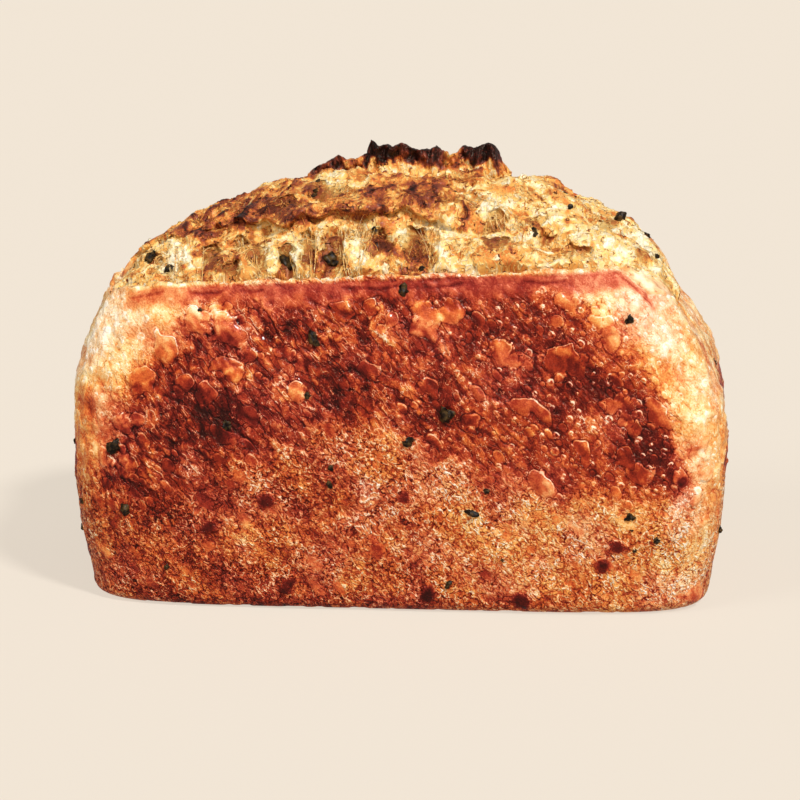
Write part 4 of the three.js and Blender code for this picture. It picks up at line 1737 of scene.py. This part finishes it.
@dataclass
class Ear:
    """The burnt ragged crest along the ridge, from peaks that were read off the picture."""

    form: LoafForm
    view: View
    cells: tuple[int, int, int] = (300, 8, 22)
    crest: tuple[Span, ...] = (
        (308, 172), (320, 166), (330, 162), (339, 155), (346, 160),
        (358, 158), (367, 154), (371, 141), (381, 144), (392, 147), (402, 143), (412, 148), (424, 150),
        (430, 150), (436, 146), (441, 151), (450, 153), (458, 152), (463, 147), (478, 146), (488, 144),
        (496, 148), (500, 158), (504, 166), (512, 173),
    )
    burnt: tuple[Span, ...] = (
        (308, 0.4), (330, 0.5), (339, 0.66), (346, 0.3), (362, 0.35), (369, 0.9), (390, 0.86), (400, 0.66),
        (412, 0.76), (424, 0.64), (436, 0.7), (444, 0.2), (460, 0.25), (464, 0.8), (496, 0.82), (503, 0.1),
    )
    burnt_depth: Span = (6.6, 4.0)  # from where to where below the crest it darkens
    foot_thickness: float = 7.0
    edge_thickness: float = 2.0
    lean: float = 2.0
    weave: float = 5.0  # how far it wanders to the front and the back
    weaving: Pattern = Pattern(24.0, 2, 37)
    sink: float = 7.0
    lip_stand: float = 0.7
    jags: Pattern = Pattern(2.5, 2, 10)
    jag_height: float = 0.8
    folding: Pattern = Pattern(3.0, 3, 11)
    fold_depth: float = 2.2
    fold_height: float = 8.0
    fold_push: float = 1.5
    roughening: Pattern = Pattern(2.2, 2, 12)
    roughness: float = 0.35
    fringe: Pattern = Pattern(3.0, 2, 25)
    fringe_reach: float = 2.4
    speckle: Pattern = Pattern(2.4, 2, 15)
    tones: Triple = (0.26, 0.24, 0.1)  # unburnt, unevenness, and painted shade and light on the folds
    least_toast: float = 0.05

    def build(self, material: Material) -> Object:
        """Makes the piece.

        Args:
            material: its finish.

        Returns:
            The ear.
        """
        bm = grid_box(self.cells)
        cube = places(bm)
        y = self.form.ridge * self.form.shoulder_depth
        peaks = np.array([self.view.on_plane(pixel, y + self.lean) for pixel in self.crest])
        x = blend(peaks[0, 0], peaks[-1, 0], (cube[:, 0] + 1.0) / 2.0)
        up = (cube[:, 2] + 1.0) / 2.0
        top = np.interp(x, peaks[:, 0], peaks[:, 2]) + self.jag_height * self.jags.along(x)
        along = x / self.form.of_end(x, "shoulder")
        foot = self.form.crown(along, np.full_like(x, self.form.ridge), self.lip_stand)[:, 2] - self.sink
        thickness = blend(self.foot_thickness, self.edge_thickness, np.sqrt(up))
        folds = self.fold_depth * self.folding.at(np.stack([x, 0 * x, self.fold_height * up], -1))
        sway = self.weave * self.weaving.along(x)
        z = blend(foot, top - math.tan(math.radians(self.view.rise)) * sway, up)
        depth = self.lean * up + sway + cube[:, 1] * thickness / 2 + self.fold_push * folds * np.sqrt(up)
        points = np.stack([x, y + depth, z], -1)
        points += self.roughness * self.roughening.drift(points) * up[:, None]
        move_to(bm, points)
        pixels = self.view.pixels(points)
        below = (top - foot) * (1.0 - up) + self.fringe_reach * self.fringe.at(points)
        dark = np.interp(pixels[:, 0], *np.array(self.burnt).T) * ease(*self.burnt_depth, below)
        plain, uneven, fold_shade = self.tones
        # Painted shade on the folds that are pushed back, painted light on those pushed forward.
        toast = plain + dark + uneven * self.speckle.at(points) + fold_shade * folds
        values = {"toast": np.clip(toast, self.least_toast, 1.0), "edge": np.full(len(points), FAR)}
        return show_piece("ear", mesh_of("ear", bm), material, values)


@dataclass
class Threads:
    """Strands of torn crumb: bundles that were read off the picture, and loose ones across hollows."""

    crumb: Crumb
    count: int = 1500
    tries: int = 4  # places that are looked at for each loose strand
    joints: int = 7
    sides: int = 4
    lengths: Span = (2.0, 8.0)
    short_share: float = 1.4  # the higher, the more short strands
    radii: Span = (0.07, 0.2)
    bundle_radii: Span = (0.08, 0.2)
    waist: float = 0.55  # radius in the middle as a share of that at the ends
    border: int = 10  # cells of the grid that stay free at the crumb's border
    cell: Span = (0.42, 0.46)  # usual size of a cell up and along the grid
    clusters: Pattern = Pattern(9.0, 2, 26)
    wishes: Span = (0.5, 3.0)  # for depth and for clusters
    turns: float = 0.7
    bends: float = 1.2
    span_share: float = 0.9  # how far a strand spans a hollow instead of following it
    float_heights: Span = (0.05, 0.15)
    loose_tones: Span = (-0.1, 0.08)
    start_spread: Span = (6.0, 3.0)
    end_spread: Span = (2.5, 4.0)
    waist_spread: float = 2.4
    stands: Span = (-0.4, 1.0)
    end_depth: float = 0.8
    bundle_tones: Span = (0.14, 0.34)
    bundles: tuple[tuple[float, float, float, float, int], ...] = (
        (297, 232, 299, 282, 9), (318, 226, 312, 280, 4), (345, 224, 352, 278, 9), (364, 222, 357, 276, 10),
        (346, 232, 341, 262, 4), (275, 236, 268, 278, 5), (172, 238, 176, 282, 12), (186, 236, 190, 282, 9),
        (232, 236, 246, 276, 5), (203, 244, 196, 280, 5), (246, 252, 262, 282, 5), (440, 238, 444, 268, 7),
        (398, 228, 404, 262, 5), (430, 226, 433, 264, 4), (485, 200, 496, 222, 5), (505, 222, 512, 246, 5),
        (245, 190, 228, 222, 6), (262, 186, 238, 224, 6), (275, 182, 252, 216, 5), (330, 168, 340, 200, 6),
        (552, 186, 560, 214, 5), (575, 200, 584, 222, 5), (610, 224, 622, 244, 5), (640, 236, 648, 256, 4),
    )  # top pixel, bottom pixel and number of strands

    def loose(self, draw: np.random.Generator) -> tuple[Array, Array, Array]:
        """Middle lines of the loose strands.

        Args:
            draw: seeded random numbers.

        Returns:
            Points along each strand, the crumb's outward normals there, and each strand's tone.
        """
        crumb, tries = self.crumb, self.tries * self.count
        row = draw.integers(self.border, crumb.rows - self.border, tries)
        column = draw.integers(self.border, crumb.columns - self.border, tries)
        deep, clustered = self.wishes
        wish = deep * crumb.depth[row, column] + clustered * self.clusters.at(crumb.base[row, column])
        chosen = np.argsort(-wish)[: self.count]
        row, column = row[chosen, None], column[chosen, None]
        least, most = self.lengths
        length = least * (most / least) ** (draw.random(self.count) ** self.short_share)
        turn = draw.normal(0.0, self.turns, self.count)
        share = np.linspace(-0.5, 0.5, self.joints)
        bend = draw.normal(0.0, self.bends, (self.count, 1)) * (1.0 - 4.0 * share**2)
        rows = row + (length * np.cos(turn) / self.cell[0])[:, None] * share
        columns = column + (length * np.sin(turn) / self.cell[1])[:, None] * share + bend
        rows = np.clip(np.rint(rows), self.border, crumb.rows - self.border).astype(int)
        columns = np.clip(np.rint(columns), self.border, crumb.columns - self.border).astype(int)
        seat, normal = crumb.points[rows, columns], crumb.base_normals[rows, columns]
        chord = blend(seat[:, :1], seat[:, -1:], (share + 0.5)[None, :, None])
        over = np.einsum("ijk,ijk->ij", chord - seat, normal)
        least, arch = self.float_heights
        height = np.maximum(self.span_share * over, least) + arch * np.cos(share * math.pi)
        tone = crumb.toast[rows, columns].mean(1) + draw.normal(*self.loose_tones, self.count)
        return self.eased(seat + normal * height[..., None]), normal, tone

    @staticmethod
    def eased(path: Array) -> Array:
        """Middle lines with their inner joints drawn towards the joints beside them."""
        inner = (path[:, :-2] + 2.0 * path[:, 1:-1] + path[:, 2:]) / 4.0
        return np.concatenate([path[:, :1], inner, path[:, -1:]], axis=1)

    def bundled(self, draw: np.random.Generator) -> tuple[Array, Array, Array]:
        """Middle lines of the bundles' strands.

        Args:
            draw: seeded random numbers.

        Returns:
            What loose gives back.
        """
        crumb = self.crumb
        base, normals = crumb.base.reshape(-1, 3), crumb.base_normals.reshape(-1, 3)
        share = np.linspace(0.0, 1.0, self.joints)[:, None]
        found = []
        for x0, y0, x1, y1, number in self.bundles:
            for _ in range(number):
                start = np.array([x0, y0]) + draw.normal(0.0, 1.0, 2) * self.start_spread
                end = np.array([x1, y1]) + draw.normal(0.0, 1.0, 2) * self.end_spread
                waist = draw.normal(0.0, self.waist_spread, 2) * np.sin(share * math.pi)
                found.append([crumb.near(pixel) for pixel in blend(start, end, share) + waist])
        path, normal = self.eased(base[found]), normals[found]
        stand = draw.uniform(*self.stands, len(path))[:, None, None]
        ends = np.abs(2.0 * share - 1.0) ** 4
        tone = draw.uniform(*self.bundle_tones, len(path))
        return path + normal * (stand * (1.0 - ends) - self.end_depth * ends), normal, tone

    def tubes(self, number: int) -> BMesh:
        """Closed tubes in one bmesh, each a grid that is rolled up: rings of points, joint by joint.

        Args:
            number: how many there are.

        Returns:
            The tubes.
        """
        tube = bmesh.new()
        bmesh.ops.create_grid(tube, x_segments=self.sides, y_segments=self.joints - 1, size=1.0)
        tube.verts.ensure_lookup_table()
        firsts = range(0, len(tube.verts), self.sides + 1)
        bmesh.ops.weld_verts(tube, targetmap={tube.verts[n + self.sides]: tube.verts[n] for n in firsts})
        bmesh.ops.edgeloop_fill(tube, edges=[e for e in tube.edges if e.is_boundary])
        strand = mesh_of("strand", tube)
        bm = bmesh.new()
        for _ in range(number):
            bm.from_mesh(strand)
        bpy.data.meshes.remove(strand)
        return bm

    def build(self, material: Material) -> Object:
        """Makes the piece.

        Args:
            material: its finish.

        Returns:
            All strands as one mesh of closed tubes.
        """
        draw = np.random.default_rng(SEED + 4)
        groups = (self.loose(draw), self.bundled(draw))
        path, normal, tone = (np.concatenate(parts) for parts in zip(*groups))
        radius = np.concatenate([
            draw.uniform(*self.radii, len(groups[0][0])),
            draw.uniform(*self.bundle_radii, len(groups[1][0])),
        ])
        along = np.gradient(path, axis=1)
        aside = unit(np.cross(along, normal))
        over = unit(np.cross(aside, along))
        share = np.linspace(-1.0, 1.0, self.joints)
        radius = radius[:, None] * blend(self.waist, 1.0, share**2)
        turns = np.arange(self.sides) * math.tau / self.sides
        ring = aside[:, :, None] * np.cos(turns)[:, None] + over[:, :, None] * np.sin(turns)[:, None]
        bm = self.tubes(len(path))
        move_to(bm, path[:, :, None] + ring * radius[:, :, None, None])
        toast = np.clip(np.repeat(tone, self.joints * self.sides), LEAST_TOAST, 1.0)
        values = {"toast": toast, "edge": np.full(len(toast), FAR)}
        return show_piece("crumb_threads", mesh_of("crumb_threads", bm), material, values)


@dataclass
class Bits:
    """Small irregular lumps of one kind, half sunk in the crust and the crumb."""

    name: str
    finish: BitFinish
    seats: list[tuple[Vector, Vector, float]] = field(default_factory=list)
    flatness: float = 0.7
    sunk: float = 0.05  # share of the radius that lies under the surface
    lengths: Span = (0.8, 1.4)
    widths: Span = (0.5, 1.0)
    fineness: int = 3
    bend_wave: float = 0.8  # in radii
    bend_octaves: int = 2
    bend_layer: int = 41
    unevenness: float = 0.55

    def set_at(self, marks: tuple[Triple, ...], points: Array, normals: Array,
               pixels: Array, scale: float) -> None:
        """Adds a lump at each picture place, on the nearest of these points.

        Args:
            marks: pixel and half size in pixels of each.
            points: surface points that face the camera, one row each.
            normals: their normals.
            pixels: where they show.
            scale: millimetres for a pixel.
        """
        for x, y, size in marks:
            nearest = np.argmin(np.hypot(*(pixels - (x, y)).T))
            self.seats.append((Vector(points[nearest]), Vector(normals[nearest]), size * scale))

    def scatter(self, count: int, radii: Span, points: Array, normals: Array,
                seed: int) -> None:
        """Adds seeded lumps over points.

        Args:
            count: how many.
            radii: their least and largest radius.
            points: where they may sit, one row each.
            normals: the normals there.
            seed: start of the random numbers.
        """
        draw = random.Random(seed)
        for _ in range(count):
            index = draw.randrange(len(points))
            self.seats.append((Vector(points[index]), Vector(normals[index]), draw.uniform(*radii)))

    def build(self) -> Object:
        """Makes the piece.

        Returns:
            All lumps as one mesh.
        """
        draw = random.Random(SEED + 2)
        bm = bmesh.new()
        for seat, normal, radius in self.seats:
            turn = normal.to_track_quat("Z", "Y").to_matrix().to_4x4()
            spin = Matrix.Rotation(draw.uniform(0.0, math.tau), 4, "Z")
            long, wide = draw.uniform(*self.lengths), draw.uniform(*self.widths)
            size = Matrix.Diagonal((long, wide, self.flatness, 1.0))
            matrix = Matrix.Translation(seat - normal * radius * self.sunk) @ turn @ spin @ size
            made = bmesh.ops.create_icosphere(bm, subdivisions=self.fineness, radius=radius, matrix=matrix)
            pattern = Pattern(self.bend_wave * radius, self.bend_octaves, self.bend_layer)
            bend = pattern.drift(np.array([v.co for v in made["verts"]]))
            for vertex, way in zip(made["verts"], bend.tolist()):
                vertex.co += Vector(way) * radius * self.unevenness
        return show_piece(self.name, mesh_of(self.name, bm), self.finish.material(), {})


@dataclass(frozen=True)
class Studio:
    """Plain pale floor that glows a little, soft light from both sides and the picture's camera."""

    view: View
    floor_radius: float = 6000.0
    paper: Triple = (242, 230, 214)
    floor_share: float = 0.2  # what the floor sends back of the paper's tone, as it is lit from above
    floor_glow: float = 0.75
    floor_segments: int = 64
    floor_wave: float = 400.0
    worn_share: float = 0.98
    ambient: float = 0.26
    ambient_tone: tuple = (1.0, 0.98, 0.95, 1.0)
    suns: tuple[tuple[float, float, float, float], ...] = (
        (40.0, 48.0, 3.2, 8.0),
        (-52.0, 38.0, 1.0, 24.0),
        (5.0, 24.0, 0.3, 40.0),
    )  # degrees to the right and up, strength and softness in degrees

    def build(self) -> None:
        """Sets the floor, the world, the lights, the tone curve and the camera."""
        self.lay_floor()
        self.set_lights()
        bpy.context.scene.view_settings.view_transform = "Standard"
        self.view.place_camera()

    def lay_floor(self) -> None:
        """Lays the floor, a plain disc."""
        bm = bmesh.new()
        radius = self.floor_radius * MM
        bmesh.ops.create_circle(bm, cap_ends=True, segments=self.floor_segments, radius=radius)
        mesh = bpy.data.meshes.new("floor")
        bm.to_mesh(mesh)
        bm.free()
        shader = Shader("floor_paper")
        tone = shader.noise(shader.place(), self.floor_wave)
        paper = tuple(part * self.floor_share for part in linear(self.paper)[:3]) + (1.0,)
        worn = tuple(part * self.worn_share for part in paper[:3]) + (1.0,)
        mesh.materials.append(shader.finish({
            "Base Color": shader.mix(tone, worn, paper),
            "Roughness": 0.9,
            "Specular IOR Level": 0.0,
            "Emission Color": linear(self.paper),
            "Emission Strength": self.floor_glow,
        }))
        floor = bpy.data.objects.new("floor", mesh)
        floor.visible_glossy = False
        bpy.context.scene.collection.objects.link(floor)

    def set_lights(self) -> None:
        """Sets the world and the lights."""
        world = bpy.data.worlds.new("studio")
        world.use_nodes = True
        background = world.node_tree.nodes["Background"]
        background.inputs["Color"].default_value = self.ambient_tone
        background.inputs["Strength"].default_value = self.ambient
        bpy.context.scene.world = world
        for number, (side, height, power, softness) in enumerate(self.suns):
            data = bpy.data.lights.new(f"softbox_{number}", "SUN")
            data.energy = power
            data.angle = math.radians(softness)
            sun = bpy.data.objects.new(f"softbox_{number}", data)
            turn = Matrix.Rotation(math.radians(side), 3, "Z")
            tilt = Matrix.Rotation(math.radians(90.0 - height), 3, "X")
            sun.rotation_euler = (turn @ tilt).to_euler()
            sun.visible_glossy = number == 0
            bpy.context.scene.collection.objects.link(sun)


# Bits that were read off the picture: pixel and half size in pixels.
CROWN_BITS = (
    (151, 258, 7), (169, 268, 5), (287, 262, 8), (331, 261, 7), (318, 183, 4), (316, 190, 3),
    (313, 196, 3), (422, 268, 4), (534, 233, 6), (565, 194, 4), (570, 207, 4), (621, 218, 7),
    (660, 253, 4), (375, 228, 3),
)
FRONT_BITS = (
    (402, 289, 5), (313, 338, 8), (447, 415, 8), (410, 442, 6), (228, 425, 5), (628, 319, 5),
    (114, 447, 7), (125, 509, 5), (472, 514, 5), (486, 491, 3), (629, 517, 5), (632, 531, 2),
    (656, 540, 3), (635, 551, 2), (449, 585, 4), (502, 560, 2), (332, 467, 3), (329, 485, 4),
    (166, 567, 4), (307, 395, 4), (199, 310, 3), (82, 501, 3),
)
CHEESE_BITS = (
    (385, 267, 5), (398, 262, 3), (497, 258, 3),
)
FRONT_SIDE = -0.3  # a normal's Y under which the wall counts as the front
NEAR_SIDE = 0.25  # how far the crown must turn to the camera where a bit of the picture sits
WALL_TOP = 0.999  # part of the front that bits may sit on
HIDDEN_SPAN = (-0.9, 0.97)  # part of the hidden walls that bits may sit on
HIDDEN_BIT_COUNTS = (40, 10)  # on the hidden walls and on the back of the crown
HIDDEN_BIT_RADII = (0.8, 1.9)


def main() -> None:
    """Builds the pieces in order and reports each one."""
    logging.basicConfig(level=logging.INFO, format="%(name)s: %(message)s")
    form, view = LoafForm(), View()
    Studio(view).build()
    crust_finish, crumb_finish = CrustFinish().material(), CrumbFinish().material()
    skin = CrustSkin(form, view)
    front = CrustWall(skin, Wall.FRONT, "crust_front", columns=424, rows=204)
    sides = CrustWall(skin, Wall.SIDES, "crust_sides", columns=540, rows=132)
    top, crumb, ear = CrustTop(skin), Crumb(form, view), Ear(form, view)
    pieces = [part.build(crust_finish) for part in (front, sides, top)]
    pieces += [part.build(crumb_finish) for part in (crumb, ear, Threads(crumb))]
    scale = view.distance / view.focal
    seen = (front.normals[..., 1] < FRONT_SIDE) & (front.cube[..., 2] < WALL_TOP)
    on_front = [grid[seen] for grid in (front.points, front.normals, front.pixels)]
    near_side = crumb.base_normals @ view.axes()[2] > NEAR_SIDE
    on_crown = [grid[near_side] for grid in (crumb.points, crumb.base_normals, crumb.pixels)]
    low, high = HIDDEN_SPAN
    hidden = (sides.cube[..., 2] > low) & (sides.cube[..., 2] < high)
    jalapeno = Bits("jalapeno_bits", JALAPENO_FINISH)
    jalapeno.set_at(FRONT_BITS, *on_front, scale)
    jalapeno.set_at(CROWN_BITS, *on_crown, scale)
    on_walls, on_top = HIDDEN_BIT_COUNTS
    jalapeno.scatter(on_walls, HIDDEN_BIT_RADII, sides.points[hidden], sides.normals[hidden], SEED + 3)
    jalapeno.scatter(on_top, HIDDEN_BIT_RADII, top.points, top.normals, SEED + 5)
    cheese = Bits("cheese_bits", CHEESE_FINISH)
    cheese.set_at(CHEESE_BITS, *on_crown, scale)
    pieces += [jalapeno.build(), cheese.build()]
    for piece in pieces:
        LOG.info("%s: %d faces", piece.name, len(piece.data.polygons))


if __name__ == "__main__":
    main()
